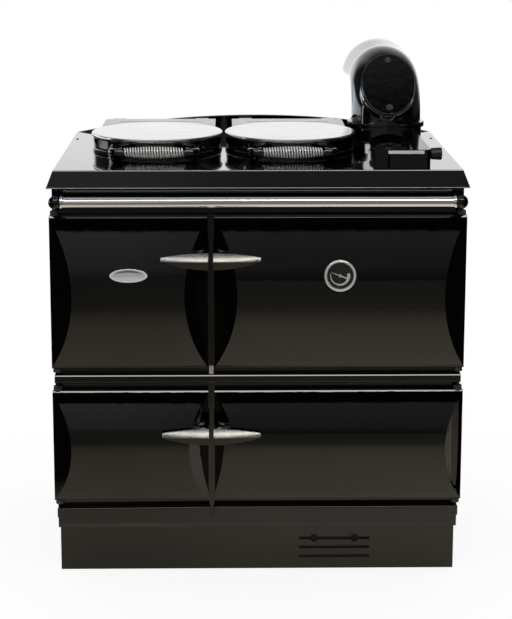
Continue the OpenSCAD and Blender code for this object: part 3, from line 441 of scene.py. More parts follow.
class Paint:
    """The nodes of a new material, or of a new world, added by expressions."""

    def __init__(self, name, shelf=None):
        self.made = (bpy.data.materials if shelf is None else shelf).new(name)
        self.made.use_nodes = True
        self.tree = self.made.node_tree
        self.surface = self.tree.nodes["Principled BSDF" if shelf is None else "Background"]

    def node(self, kind, settings, sockets, out=0):
        """Adds a node, its settings first and then its sockets' values or links, and gives one output."""
        made = self.tree.nodes.new(kind)
        for key, value in settings.items():
            if key == "stops":
                ramp = made.color_ramp
                while len(ramp.elements) < len(value):
                    ramp.elements.new(0.5)
                for element, (place, colour) in zip(ramp.elements, value):
                    element.position = place
                    element.color = (*colour, 1)
            else:
                setattr(made, key, value)
        pairs = sockets.items() if isinstance(sockets, dict) else enumerate(sockets)
        for key, value in pairs:
            self.feed(made.inputs[key], value)
        return Wire(self, made.outputs[out])

    def feed(self, socket, value):
        """Links a wire to a socket or sets the socket's value, where three numbers also make a colour."""
        if isinstance(value, Wire):
            self.tree.links.new(value.socket, socket)
        elif socket.type == "RGBA" and len(value) == 3:
            socket.default_value = (*value, 1)
        else:
            socket.default_value = value

    def set(self, **values):
        """Feeds the surface's sockets, whose names are given in lower case with underscores."""
        names = {s.name.lower().replace(" ", "_"): s for s in self.surface.inputs}
        for key, value in values.items():
            self.feed(names[key], value)

    def place(self, centre=(0, 0, 0), turn=(0, 0, 0), stretch=(1, 1, 1)):
        """Object coordinates about a centre, in millimetres, turned and stretched."""
        where = self.node("ShaderNodeTexCoord", {}, {}, out="Object")
        shifted = self.node("ShaderNodeVectorMath", {"operation": "SUBTRACT"}, [where, tuple(at(*centre))])
        return self.node("ShaderNodeMapping", {}, {"Vector": shifted, "Rotation": turn, "Scale": stretch})

    def parts(self, vector):
        """The three numbers of a vector."""
        first = self.node("ShaderNodeSeparateXYZ", {}, [vector])
        return [Wire(self, socket) for socket in first.socket.node.outputs]

    def noise(self, where, scale, detail=2.0, roughness=0.5):
        return self.node("ShaderNodeTexNoise", {}, {
            "Vector": where, "Scale": scale, "Detail": detail, "Roughness": roughness,
        })

    def rings(self, radius, scale, detail):
        """Fine circles that change with the distance from a middle."""
        return self.node("ShaderNodeTexNoise", {"noise_dimensions": "1D"}, {
            "W": radius, "Scale": scale, "Detail": detail,
        })

    def blend(self, share, low, high):
        """A colour between two colours."""
        low_colour, high_colour, result = 6, 7, 2
        return self.node("ShaderNodeMix", {"data_type": "RGBA"}, {
            "Factor": share, low_colour: low, high_colour: high,
        }, out=result)

    def ramp(self, share, *stops):
        """A colour that runs through stops of a place and a colour."""
        return self.node("ShaderNodeValToRGB", {"stops": stops}, [share])

    def bump(self, height, distance):
        self.set(normal=self.node(
            "ShaderNodeBump", {}, {"Strength": 1.0, "Distance": distance, "Height": height}, out="Normal"
        ))

    def ray(self, kind):
        """1 for one kind of ray and 0 for the others."""
        return self.node("ShaderNodeLightPath", {}, {}, out=f"Is {kind} Ray")


# ---------- finishes ----------

FINISHES = {}


def enamel_body(name):
    """Black enamel whose fired surface ripples slowly, and its haze; the gloss is still to be set."""
    look = bpy.context.scene.range_enamel
    paint = Paint(name)
    where = paint.place()
    slow = paint.noise(where, 55, 1.5)
    fine = paint.noise(where, 240, 2)
    haze = paint.noise(where, 9, 4, 0.6)
    hazed = tuple(1.7 * c for c in look.colour)
    paint.set(base_color=paint.blend(haze.step(0.35, 0.75), tuple(look.colour), hazed), ior=1.5)
    paint.bump(slow + 0.03 * fine, look.ripple)
    return paint, haze


def enamel_finish(name):
    """Enamel with one glassy surface."""
    paint, _ = enamel_body(name)
    paint.set(roughness=bpy.context.scene.range_enamel.polish, specular_ior_level=0.5)
    return paint.made


def hob_enamel_finish(name):
    """Glossier enamel: a clear layer over a slightly duller one."""
    look = bpy.context.scene.range_enamel
    paint, haze = enamel_body(name)
    paint.set(
        roughness=look.roughness + 0.05 * haze.step(0.5, 0.8), specular_ior_level=0.5,
        coat_weight=1.0, coat_roughness=look.polish, coat_ior=1.5,
    )
    return paint.made


def chrome_finish(name):
    metal = bpy.context.scene.range_metal
    paint = Paint(name)
    where = paint.place()
    smear = paint.noise(where, 22, 3, 0.6)
    paint.set(
        base_color=tuple(metal.chrome), metallic=1.0,
        roughness=0.05 + 0.05 * smear.step(0.4, 0.8),
    )
    paint.bump(paint.noise(where, 160, 2), 0.00002)
    return paint.made


def round_lid_axes(paint):
    """How far a place lies behind the lids' middle line and from the nearer lid's axis, in metres."""
    x, y, _ = paint.parts(paint.place((0, LID_Y, 0)))
    middle = (LID_XS[0] + LID_XS[1]) / 2 * MM
    half = (LID_XS[1] - LID_XS[0]) / 2 * MM
    aside = abs(x - middle) - half
    return y, (aside * aside + y * y) ** 0.5


def lid_top_finish(name):
    """Bright plating with fine turned lines round each lid's middle and duller brushed plates behind."""
    paint = Paint(name)
    behind, radius = round_lid_axes(paint)
    rings = paint.rings(radius, 1500, 3)
    brushed = paint.noise(paint.place(stretch=(0.05, 1, 1)), 700, 3)
    wipes = paint.noise(paint.place(stretch=(1, 3, 1)), 14, 3, 0.6)
    rear = radius.step((LID_R - 0.5) * MM, (LID_R + 0.3) * MM)
    top = paint.blend(wipes.step(0.3, 0.8), (0.80, 0.80, 0.815), (0.76, 0.76, 0.775))
    # The rear plates grow lighter towards the rear, with brushed streaks.
    towards_rear = (behind * 9 - 1.0 + 0.5 * brushed).clamped()
    plate = paint.blend(towards_rear, (0.46, 0.455, 0.44), (0.56, 0.555, 0.54))
    paint.set(
        base_color=paint.blend(rear, top, plate), metallic=1.0,
        roughness=0.10 + 0.06 * wipes.step(0.35, 0.8) + 0.05 * rings + 0.12 * rear,
    )
    paint.bump(rings * (1 - rear) + brushed * rear, 0.00002)
    return paint.made


def pewter_finish(name):
    """Cast pewter: bright and brushed above the ridge, with painted shade on the face below it."""
    metal = bpy.context.scene.range_metal
    paint = Paint(name)
    where = paint.place()
    _, _, z = paint.parts(where)
    upper = z > 0.55
    below = z / MM - PULL_RIDGES[1] - upper * (PULL_RIDGES[0] - PULL_RIDGES[1])
    # The face below each ridge is painted nearly black: painted shade standing in for the dark floor it
    # reflects.
    painted_underside_shade = 1 - below.step(-1.5, 0.5)
    grain = paint.noise(paint.place(stretch=(0.25, 1, 1)), 900, 3)
    cloud = paint.noise(where, 40, 3)
    clouded = tuple(0.85 * c for c in metal.pewter)
    bright = paint.blend(cloud.step(0.3, 0.75), tuple(metal.pewter), clouded)
    paint.set(
        base_color=paint.blend(painted_underside_shade, bright, (0.034, 0.030, 0.026)),
        metallic=1.0, roughness=0.25 + 0.06 * grain,
    )
    paint.bump(grain, 0.00003)
    return paint.made


def iron_finish(name, shade, rough, grain_height=0.0002):
    """Bare cast iron: a sandy skin with darker and rustier clouds."""
    paint = Paint(name)
    where = paint.place()
    sand = paint.noise(where, 420, 4, 0.7)
    cloud = paint.noise(where, 12, 5, 0.65)
    warm = tuple(c * k for c, k in zip(shade, (1.5, 1.25, 1.05)))
    paint.set(
        base_color=paint.blend(cloud.step(0.42, 0.75), shade, warm),
        metallic=0.55, roughness=rough + 0.15 * sand,
    )
    paint.bump(sand, grain_height)
    return paint.made


def plate_finish(name):
    """Hotplate iron with the circles that its last turning left."""
    paint = Paint(name)
    _, radius = round_lid_axes(paint)
    rings = paint.rings(radius, 900, 2)
    cloud = paint.noise(paint.place(), 18, 4, 0.6)
    paint.set(
        base_color=paint.blend(cloud.step(0.35, 0.75), (0.13, 0.13, 0.135), (0.07, 0.066, 0.064)),
        metallic=0.8, roughness=0.34 + 0.16 * cloud,
    )
    paint.bump(rings, 0.00008)
    return paint.made


def steel_finish(name, shade, rough, along=(1, 1, 12)):
    """Rolled or brushed steel with its grain along one way."""
    paint = Paint(name)
    grain = paint.noise(paint.place(stretch=along), 160, 4, 0.6)
    cloud = paint.noise(paint.place(), 7, 4, 0.6)
    paint.set(
        base_color=paint.blend(cloud.step(0.3, 0.8), shade, tuple(0.8 * c for c in shade)),
        metallic=0.9, roughness=rough + 0.14 * grain,
    )
    paint.bump(grain, 0.00004)
    return paint.made


def brick_finish(name):
    paint = Paint(name)
    where = paint.place()
    grit = paint.noise(where, 260, 5, 0.7)
    cloud = paint.noise(where, 16, 4, 0.6)
    soot = paint.noise(where, 5, 3)
    _, _, height = paint.parts(where)
    warm = paint.blend(cloud.step(0.3, 0.7), (0.50, 0.36, 0.22), (0.40, 0.27, 0.16))
    sooted = (soot + 0.35 - 1.2 * (height - 0.5)).step(0.35, 0.95)
    paint.set(base_color=paint.blend(sooted, warm, (0.05, 0.043, 0.038)), roughness=0.9)
    paint.bump(grit, 0.0006)
    return paint.made


def rope_finish(name):
    """Woven seal cord: small crossing lays."""
    paint = Paint(name)
    x, y, z = paint.parts(paint.place())
    lay_a = ((x + z) * 1400).sum("SINE")
    lay_b = ((x - z) * 1400).sum("SINE")
    weave = lay_a * lay_b
    paint.set(
        base_color=paint.blend((0.5 + 0.5 * weave).clamped(), (0.10, 0.095, 0.085), (0.26, 0.245, 0.22)),
        roughness=0.95,
    )
    paint.bump(weave, 0.0005)
    return paint.made


def dial_finish(name):
    """Dark dial with a crescent that widens from cold to hot."""
    paint = Paint(name)
    door = Bulge("main_oven_door_casting")
    centre, tilt = door.spot(THERMO_X, THERMO_Z)
    x, _, z = paint.parts(paint.place(centre, (tilt, 0, 0)))
    radius = (x * x + z * z) ** 0.5 / MM
    angle = z.sum("ARCTAN2", x) * (180 / math.pi)
    start, sweep, pitch = 168, 207, 23
    travel = (angle - start) + 360 * (angle < start)
    share = travel / sweep
    width = 1.0 + 5.6 * share
    ring = (radius < 21.0) * (radius > 21.0 - width) * (share < 1)
    ticks = ((travel * (math.pi / pitch)).sum("COSINE") > 0.985) * (share < 1.01)
    ticks = ticks * (radius > 23.2) * (radius < 25.2)
    grime = paint.noise(paint.place(), 60, 3)
    dark = paint.blend(grime.step(0.4, 0.8), (0.012, 0.012, 0.012), (0.022, 0.022, 0.021))
    paint.set(
        base_color=paint.blend((ring + 0.55 * ticks).clamped(), dark, (0.72, 0.74, 0.71)),
        roughness=0.35, coat_weight=0.3,
    )
    return paint.made


def plain_finish(name, shade, rough, metallic=0.0, scale=200, height=0.00003):
    """A plain paint or moulding with a fine grain."""
    paint = Paint(name)
    grain = paint.noise(paint.place(), scale, 3)
    paint.set(
        base_color=paint.blend(grain.step(0.3, 0.8), shade, tuple(0.85 * c for c in shade)),
        roughness=rough + 0.06 * grain, metallic=metallic,
    )
    paint.bump(grain, height)
    return paint.made


def badge_finish(name):
    """Polished oval plate: a bright ring round a field with a painted reflection, light below, darker
    upwards and dark in a dome at its top.
    """
    paint = Paint(name)
    centre, tilt = Bulge("fire_door_casting").spot(PLATE_X, PLATE_Z)
    where = paint.place(centre, (tilt, 0, 0))
    x, _, z = paint.parts(where)
    across, up = x / (PLATE_W / 2 * MM), z / (PLATE_H / 2 * MM)
    share = (across * across + up * up) ** 0.5
    ring = share.step(0.86, 0.9)
    # Painted reflection: the field is light below and darkens upwards, with a dark dome at its top.
    painted_dark_reflection = (up - 0.25 + 0.4 * across * across).step(0.15, 0.3) * (1 - share.step(0.74, 0.8))
    painted_reflection_field = paint.blend(up.step(-0.9, 0.6), (0.95, 0.96, 0.98), (0.62, 0.64, 0.68))
    paint.set(
        base_color=paint.blend(ring, paint.blend(painted_dark_reflection, painted_reflection_field, (0.16, 0.17, 0.19)), (1.0, 1.0, 1.0)),
        roughness=0.26 + 0.06 * paint.noise(where, 700, 2), metallic=0.15,
    )
    return paint.made


def glass_finish(name):
    paint = Paint(name)
    smear = paint.noise(paint.place(), 80, 2)
    paint.set(
        base_color=(0.97, 0.98, 0.98), transmission_weight=1.0, ior=1.45,
        roughness=0.01 + 0.02 * smear, alpha=0.25,
    )
    return paint.made


class RANGE_OT_finishes(bpy.types.Operator):
    """Mix the finishes and put them on the nodes that keep their own shape"""

    bl_idname = "range.finishes"
    bl_label = "Finishes"

    def execute(self, context):
        metal = context.scene.range_metal
        iron = tuple(metal.iron)
        FINISHES.update(
            enamel=enamel_finish("Black enamel"),
            hob_enamel=hob_enamel_finish("Hob enamel"),
            # Chrome with a half-matt white body: painted sheen standing in for the light that the coils and
            # the bezel reflect.
            satin=plain_finish("Chrome with painted sheen", (0.97, 0.97, 0.94), 0.2, 0.45, 160, 0.00002),
            chrome=chrome_finish("Bright chrome"),
            lid_top=lid_top_finish("Lid plating"),
            pewter=pewter_finish("Pewter"),
            iron=iron_finish("Cast iron", iron, 0.55),
            plate=plate_finish("Turned iron"),
            oven=iron_finish("Oven lining", tuple(1.3 * c for c in iron), 0.42, 0.0001),
            panel=steel_finish("Rolled steel", (0.42, 0.43, 0.44), 0.34),
            liner=steel_finish("Liner steel", (0.30, 0.30, 0.31), 0.36, (12, 1, 1)),
            spring=steel_finish("Spring steel", (0.48, 0.48, 0.50), 0.25),
            wire=steel_finish("Shelf wire", (0.6, 0.61, 0.62), 0.14),
            brick=brick_finish("Firebrick"),
            rope=rope_finish("Seal cord"),
            knob=plain_finish("Knob", (0.006, 0.006, 0.006), 0.42),
            dial=dial_finish("Dial"),
            needle=plain_finish("Needle paint", (0.78, 0.79, 0.76), 0.4),
            badge=badge_finish("Badge"),
            # The chrome strip on the flue box gets near-white paint instead of chrome: painted reflection.
            strip=plain_finish("Strip", (0.95, 0.95, 1.0), 0.25, 0.1, 300, 0.00002),
            # Beige paint for the plate on the post: painted reflection of the light floor.
            catch=plain_finish("Painted reflection plate", (0.50, 0.49, 0.43), 0.4, 0.3, 300, 0.00002),
            glass=glass_finish("Dial glass"),
        )
        by_slot = {
            "enamel": "enamel", "frame_iron": "iron", "machined_iron": "plate", "panel_steel": "panel",
            "spring_steel": "spring", "oven_steel": "oven", "wire_steel": "wire", "liner_steel": "liner",
            "bright_chrome": "chrome", "pewter": "pewter", "knob_black": "knob", "firebrick": "brick",
            "rope_seal": "rope", "dial_black": "dial", "needle_white": "needle", "clear_glass": "glass",
        }
        for node in NODES.values():
            for place in node.material_slots:
                place.material = FINISHES[by_slot[place.material.name.split(".")[0]]]
        for name in ("firebox", "riddling_grate"):
            NODES[name].material_slots[0].material = FINISHES["iron"]
        return {"FINISHED"}


# ---------- doors ----------


class Bulge:
    """The cylinder that a door's front is part of, in millimetres."""

    def __init__(self, node):
        low, high = corners(node)
        self.x0, self.x1, self.z0, self.z1 = low.x, high.x, low.z, high.z
        self.back, self.front = high.y, low.y
        self.edge = self.back - EDGE_T
        rise = self.edge - self.front
        half = (self.z1 - self.z0) / 2
        self.radius = ((half - LAND) ** 2 + rise * rise) / (2 * rise)
        self.mid = (self.z0 + self.z1) / 2

    def spot(self, x, z):
        """A place on the front and how far the front tilts up there, in radians."""
        tilt = math.asin((z - self.mid) / self.radius)
        return (x, self.front + self.radius * (1 - math.cos(tilt)), z), tilt


def model_door(door):
    """A slab with rounded edges and a bulged front whose ends are cut off by two slanted planes."""
    form = Bulge(door + "_casting")
    left = door in ("fire_door", "ash_door")
    hinge_x = form.x0 if left else form.x1
    rim = bpy.context.scene.range_castings.edge_round

    slab = block(door + "_front", (form.x0, form.edge, form.z0), (form.x1, form.back, form.z1))
    pick(slab, "EDGE", lambda e: all(
        abs(v.co.x / MM - hinge_x) < 1 and v.co.y / MM > form.back - 1 for v in e.verts))
    bpy.ops.mesh.bevel(offset=HINGE_ROUND * MM, segments=8, affect="EDGES")
    put_down()
    pick(slab, "EDGE", lambda e: all(
        abs(v.co.y / MM - form.edge) < 0.5 and v.co.z / MM < form.mid for v in e.verts
    ) and abs(e.verts[0].co.z - e.verts[1].co.z) < 1e-6)
    bpy.ops.mesh.bevel(offset=LOWER_ROUND * MM, segments=6, affect="EDGES")
    put_down()
    brow = form.spot(0, form.z1 - LAND)[1]
    slice_off(slab, at(0, form.edge, form.z1 - LAND), leaning(math.degrees(brow)))
    tilt, tall = UPPER_GLINT if form.z1 > BEAD_TOP + LAND else LOWER_GLINT
    slice_off(slab, at(0, form.edge + (LAND - tall) * math.tan(brow), form.z1 - tall), leaning(tilt))

    middle = form.front + form.radius
    crown = drum("crown", form.radius, (form.x0, middle, form.mid), (form.x1, middle, form.mid), 720)
    slice_off(crown, at(0, form.edge + 4, 0), Y)
    slice_off(crown, at(0, 0, form.z1 - LAND), Z)
    slice_off(crown, at(0, 0, form.z0 + LAND), -Z)
    carve(slab, crown, "UNION")
    for x, side in ((form.x0, -1), (form.x1, 1)):
        facing = Vector((side, -CHAMFER_SLOPE, 0)).normalized()
        slice_off(slab, at(x, form.edge + CHAMFER_DEEP, 0), facing)

    if door == "main_oven_door":
        spot, tilt = form.spot(THERMO_X, THERMO_Z)
        out = leaning(math.degrees(tilt))
        floor, room = 2.5, 3.5
        carve(slab, drum("pocket", THERMO_R + room, Vector(spot) - floor * out, Vector(spot) + 6 * out))
    low, high = corners(door + "_liner")
    slack, deep = 0.5, 3
    carve(slab, block("rebate", (low.x - slack, form.back - deep, low.z - slack),
                      (high.x + slack, form.back + 1, high.z + slack)))
    round_edges(slab, rim, 3, 18)
    return hand_over(smooth(clean(slab)), door, "enamel", "enamel", door + "_casting")


class RANGE_OT_doors(bpy.types.Operator):
    """Model the four bulged doors with their chamfered ends"""

    bl_idname = "range.doors"
    bl_label = "Doors"

    def execute(self, context):
        for door in DOORS:
            model_door(door)
        return {"FINISHED"}


def model_pull():
    """Right half of a lens-shaped pull about the split: a crowned upper face over a flat lower one."""
    half, tall, tip, gap = 106, 37, 11, 10
    thick, edge, ridge_z = 16, 4, 1.5
    fall, rise = 0.35 * (tall - tip), 0.65 * (tall - tip)
    cuts, rows = 28, 8
    piece = block("pull", (gap / 2, -thick, -tall / 2), (half, 0, tall / 2))
    pick(piece, "EDGE", lambda e: abs((e.verts[1].co - e.verts[0].co).normalized().z) > 0.9)
    bpy.ops.mesh.subdivide(number_cuts=rows - 1)
    put_down()
    pick(piece, "EDGE", lambda e: abs((e.verts[1].co - e.verts[0].co).normalized().x) > 0.9)
    bpy.ops.mesh.subdivide(number_cuts=cuts)
    put_down()
    for i in range(cuts + 2):
        x = gap / 2 + (half - gap / 2) * i / (cuts + 1)
        share = (x / half) ** 2
        top, low = tall / 2 - fall * share, -tall / 2 + rise * share
        ridge = min(max(ridge_z, low + 0.3), top - 1)
        depth = thick * (1 - share / 2)
        rim = min(edge, depth - 1.5)
        for j in range(rows + 1):
            s = 2 * j / rows - 1
            z = ridge + (top - ridge) * s if s > 0 else ridge + (ridge - low) * s
            bow = 0.72 * abs(s) + 0.28 * s * s if s > 0 else abs(s)
            y = depth - (depth - rim) * bow
            for front in (True, False):
                pick(piece, "VERT", lambda v: abs(v.co.x / MM - x) < 0.5
                     and abs(v.co.z / MM - tall / 2 * s) < 0.5
                     and (v.co.y < -thick / 2 * MM) == front and not v.hide)
                bpy.ops.transform.translate(value=at(0, thick - y if front else 0, z - tall / 2 * s))
                bpy.ops.mesh.hide(unselected=False)
                put_down()
    pick(piece, "VERT", lambda v: False)
    bpy.ops.mesh.reveal()
    put_down()
    return round_edges(piece, 0.9 * MM, 3, 24)


def pull_neck(name, x, y0, y1, z):
    """A turned bright neck with a wide foot where it meets the door."""
    reach = y0 - y1
    foot = [(0, -3), (10.8, -3), (10.8, 1.4), (10.2, 2.4), (8.2, 3.2), (6.8, 6), (6.2, 12)]
    head = [(6.2, 8), (7.2, 5), (9.4, 2.4), (9.4, 0.6), (8.6, 0), (8.6, -1.5), (0, -1.5)]
    return turned(name, foot + [(r, reach - h) for r, h in head], (x, y0, z), -Y, 48)


class RANGE_OT_pulls(bpy.types.Operator):
    """Model the four pulls with their necks"""

    bl_idname = "range.pulls"
    bl_label = "Pulls"

    def execute(self, context):
        pattern = model_pull()
        for door in DOORS:
            left = door in ("fire_door", "ash_door")
            form = Bulge(door + "_casting")
            low, high = corners(door + "_pull")
            back = form.front - PULL_STAND
            z = (low.z + high.z) / 2
            piece = copy_of(pattern, door + "_handle")
            piece.location = at(SPLIT_X, back, z)
            settle(piece)
            if left:
                flip_x(piece, SPLIT_X * MM)
            hand_over(smooth(clean(piece), 26), door, "pewter", "pewter", door + "_pull")
            neck_x = SPLIT_X + (-17.5 if left else 17.5)
            neck = pull_neck(door + "_neck", neck_x, form.edge - 13, back, z)
            hand_over(smooth(neck), door, "pewter", "chrome", door + "_pull")
        bpy.data.objects.remove(pattern, do_unlink=True)
        return {"FINISHED"}


# ---------- body ----------


class RANGE_OT_body(bpy.types.Operator):
    """Model the plinth, the trims and the softened castings of the body"""

    bl_idname = "range.body"
    bl_label = "Body"

    def execute(self, context):
        look = context.scene.range_castings
        low, high = corners("plinth")
        plinth = block("plinth_skirt", low, high)
        carve(plinth, block("inside", (low.x + 4, low.y + 4, -1), (high.x - 4, high.y + 1, high.z + 1)))
        near, far = low.y - 5, low.y + 9
        for i in range(3):
            z0 = SLOT_TOP - SLOT_PITCH * i - SLOT_H / 2
            carve(plinth, block("slot", (SLOTS_X[0], near, z0), (SLOTS_X[1], far, z0 + SLOT_H)))
        for x in FINGER_XS:
            carve(plinth, drum("finger", FINGER_R, (x, near, SLOT_TOP), (x, far, SLOT_TOP), 48))
        round_edges(plinth, 0.9 * MM, 2)
        hand_over(smooth(clean(plinth)), "range", "enamel", "enamel", "plinth")

        # A bright beige plate on the post between the doors, where the post shows the light floor: painted
        # reflection.
        wide, thick = 9.6, 1.2
        plate = block("post_plate", (SPLIT_X - wide / 2, POST_FRONT - thick, BEAD_TOP + 1),
                      (SPLIT_X + wide / 2, POST_FRONT, BEAD_TOP + 20))
        round_edges(plate, 0.5 * MM, 2)
        hand_over(smooth(plate), "range", "panel_steel", "catch")

        low, high = corners("lower_trims")
        for name, x0, x1, tilt in (
            ("left_trim", low.x, SPLIT_X - 3, look.trim_tilt), ("right_trim", SPLIT_X + 3, high.x, 0),
        ):
            trim = block(name, (x0, low.y, low.z), (x1, high.y, high.z))
            round_edges(trim, 3.2 * MM, 4)
            hook = Matrix.Translation(at(x1, 0, low.z))
            trim.matrix_world = hook @ Matrix.Rotation(-tilt, 4, "Y") @ hook.inverted()
            hand_over(smooth(clean(settle(trim))), "range", "enamel", "enamel", "lower_trims")

        frame_casting = soft_copy("front_frame", "front_frame_casting", 0)
        pick(frame_casting, "EDGE", lambda e: all(
            v.co.y / MM < BEAD_FACE + 1.2 and abs(v.co.z / MM - BEAD_TOP + 1.9) < 0.7 for v in e.verts
        ) and abs(e.verts[0].co.x - e.verts[1].co.x) > 0.1)
        bpy.ops.mesh.dissolve_edges(use_verts=True)
        put_down()
        hand_over(smooth(clean(frame_casting), 10), "range", "enamel", "enamel", "front_frame")
        for node, width, finish in (
            ("back_upstand", 1.6, "hob_enamel"), ("flue_box", 2.4, "enamel"),
            ("side_panel_left", 1.0, "enamel"), ("side_panel_right", 1.0, "enamel"),
        ):
            casting = soft_copy(node, node + "_casting", width * MM)
            hand_over(smooth(casting, 30), "range", "enamel", finish, node)
        return {"FINISHED"}


class RANGE_OT_hob(bpy.types.Operator):
    """Model the hob with its flared rim, its two hotplates and its corner screws"""

    bl_idname = "range.hob"
    bl_label = "Hob"

    def execute(self, context):
        look = context.scene.range_castings
        low, high = corners("hob_top")
        hob = block("hob_plate", low, (high.x, high.y, low.z + RIM_LIP))
        side, front, level = 0, 0, RIM_LIP
        for rise, side_in, front_in in RIM_STEPS:
            pick(hob, "FACE", lambda f: f.normal.z > 0.9)
            bpy.ops.mesh.extrude_region_move(TRANSFORM_OT_translate={"value": at(0, 0, rise - level)})
            narrower = (high.x - side_in) / (high.x - side)
            shorter = (high.y - low.y - front_in) / (high.y - low.y - front)
            bpy.ops.transform.resize(value=(narrower, shorter, 1), center_override=at(0, high.y, 0))
            put_down()
            side, front, level = side_in, front_in, rise
        pick(hob, "EDGE", lambda e: all(v.co.y > 0 for v in e.verts)
             and abs(e.verts[0].co.z - e.verts[1].co.z) > 0.0005)
        bpy.ops.mesh.bevel(offset=25 * MM, segments=10, affect="EDGES")
        put_down()
        facing = leaning(RIM_TILT)
        slice_off(hob, at(0, low.y + front + RIM_GLINT, high.z), facing)
        for x, way in ((low.x + side + RIM_GLINT, -1), (high.x - side - RIM_GLINT, 1)):
            slice_off(hob, at(x, 0, high.z), Vector((-way * facing.y, 0, facing.z)))
        round_edges(hob, look.rim_round, 3, 8)
        half, front_y, rear_y, underside = 432, -269, 277, HOB_TOP - 12
        carve(hob, block("under", (-half, front_y, BODY_TOP - 2), (half, rear_y, underside)))
        for x in LID_XS:
            carve(hob, drum("eye", HOB_EYE_R, (x, LID_Y, HOB_TOP - 20), (x, LID_Y, HOB_TOP + 10), 180))
        carve(hob, drum("flue_hole", BORE_R, (*FLUE, HOB_TOP - 20), (*FLUE, HOB_TOP + 10)))
        hand_over(smooth(clean(hob), 28), "range", "enamel", "hob_enamel", "hob_top")
        hob.data.materials.append(FINISHES["enamel"])
        for face in hob.data.polygons:
            face.material_index = int(face.normal.z < 0.97)

        low, high = corners("hotplates")
        bed = HOB_TOP - 12.5
        for name, x in zip(("left_hotplate", "right_hotplate"), LID_XS):
            plate = turned(name, [
                (0, low.z), (149, low.z), (149.5, low.z + 0.5), (149.5, bed - 0.5), (149, bed),
                (139.5, bed), (139.5, high.z - 1), (138.5, high.z), (0, high.z),
            ], (x, LID_Y, 0), Z, 180)
            hand_over(smooth(plate), "range", "machined_iron", "plate", "hotplates")

        for name, x in (("left_hob_screw", -424), ("right_hob_screw", 424)):
            screw = turned(name, [
                (0, -1), (3.4, -1), (3.4, 0.6), (2.8, 1.2), (0.8, 1.2), (0.8, 0.7), (0, 0.7),
            ], (x, 165, HOB_TOP), Z, 32)
            hand_over(smooth(screw), "range", "frame_iron", "iron")
        return {"FINISHED"}


class RANGE_OT_rail(bpy.types.Operator):
    """Model the hand rail with its end rings"""

    bl_idname = "range.rail"
    bl_label = "Rail"

    def execute(self, context):
        low, high = corners("rail_tube")
        y, z = (low.y + high.y) / 2, (low.z + high.z) / 2
        length = high.x - low.x
        ring = [(12.5, 8.4), (13.6, 8.8), (14.4, 10), (14.5, 12), (14.4, 14), (13.6, 15.4), (12.5, 15.8)]
        outline = [(0, 0.2), (12.2, 0.2), (12.5, 0.5), *ring]
        outline += [(r, length - h) for r, h in reversed(outline)]
        rail = turned("hand_rail", outline, (low.x, y, z), X, 96)
        hand_over(smooth(rail), "range", "bright_chrome", "chrome", "rail_tube")
        return {"FINISHED"}


# ---------- lids ----------


class RANGE_OT_lids(bpy.types.Operator):
    """Model the two insulated lids: cap with its rear plate, shell and arms"""

    bl_idname = "range.lids"
    bl_label = "Lids"

    def execute(self, context):
        for lid, x in zip(LIDS, LID_XS):
            low, high = corners(lid + "_cap")
            top = high.z
            cap = turned(lid + "_bright_cap", [
                (0, -10), (LID_R - 3.5, -10), (LID_R - 2, -9.4), (LID_R - 0.8, -8.2), (LID_R, -6.6),
                (LID_R, -3.4), (LID_R - 0.6, -1.6), (LID_R - 2, -0.5), (LID_R - 4, 0), (0, 0),
            ], (x, LID_Y, top), Z, 240)
            hinge_y, hinge_z = LID_HINGE
            rear = block("rear", (x - 133, LID_Y + 60, top - 8), (x + 133, hinge_y - 12, top - 1))
            round_edges(rear, 1.2 * MM, 3)
            carve(rear, block("groove", (x - 98.5, 167, top - 4), (x + 98.5, 171, top + 1)))
            for middle in (x - 100, x + 100):
                x0, x1 = middle - 15, middle + 15
                web = block("web", (x0, hinge_y - 16, hinge_z), (x1, hinge_y, top - 1.2))
                carve(rear, web, "UNION")
                knuckle = drum("knuckle", 9, (x0, hinge_y, hinge_z), (x1, hinge_y, hinge_z), 48)
                carve(rear, knuckle, "UNION")
            carve(cap, rear, "UNION")
            hand_over(smooth(clean(cap), 30), lid, "bright_chrome", "lid_top", lid + "_cap")

            base = HOB_TOP + 0.3
            wall = top - 10 - base
            shell = turned(lid + "_black_shell", [
                (0, 6), (143, 6), (143, 0), (148.2, 0), (149, 0.8), (149, 5.6), (148.4, 6.4), (147.4, 7.2),
                (SHELL_R, 8.4), (SHELL_R, wall - 0.4), (SHELL_R - 0.4, wall), (0, wall),
            ], (x, LID_Y, base), Z, 240)
            hand_over(smooth(clean(shell), 30), lid, "enamel", "hob_enamel", lid + "_shell")
            arms = soft_copy(lid + "_arms", lid + "_handle_arms", 1.2 * MM)
            hand_over(smooth(arms, 35), lid, "enamel", "hob_enamel", lid + "_arms")
        return {"FINISHED"}


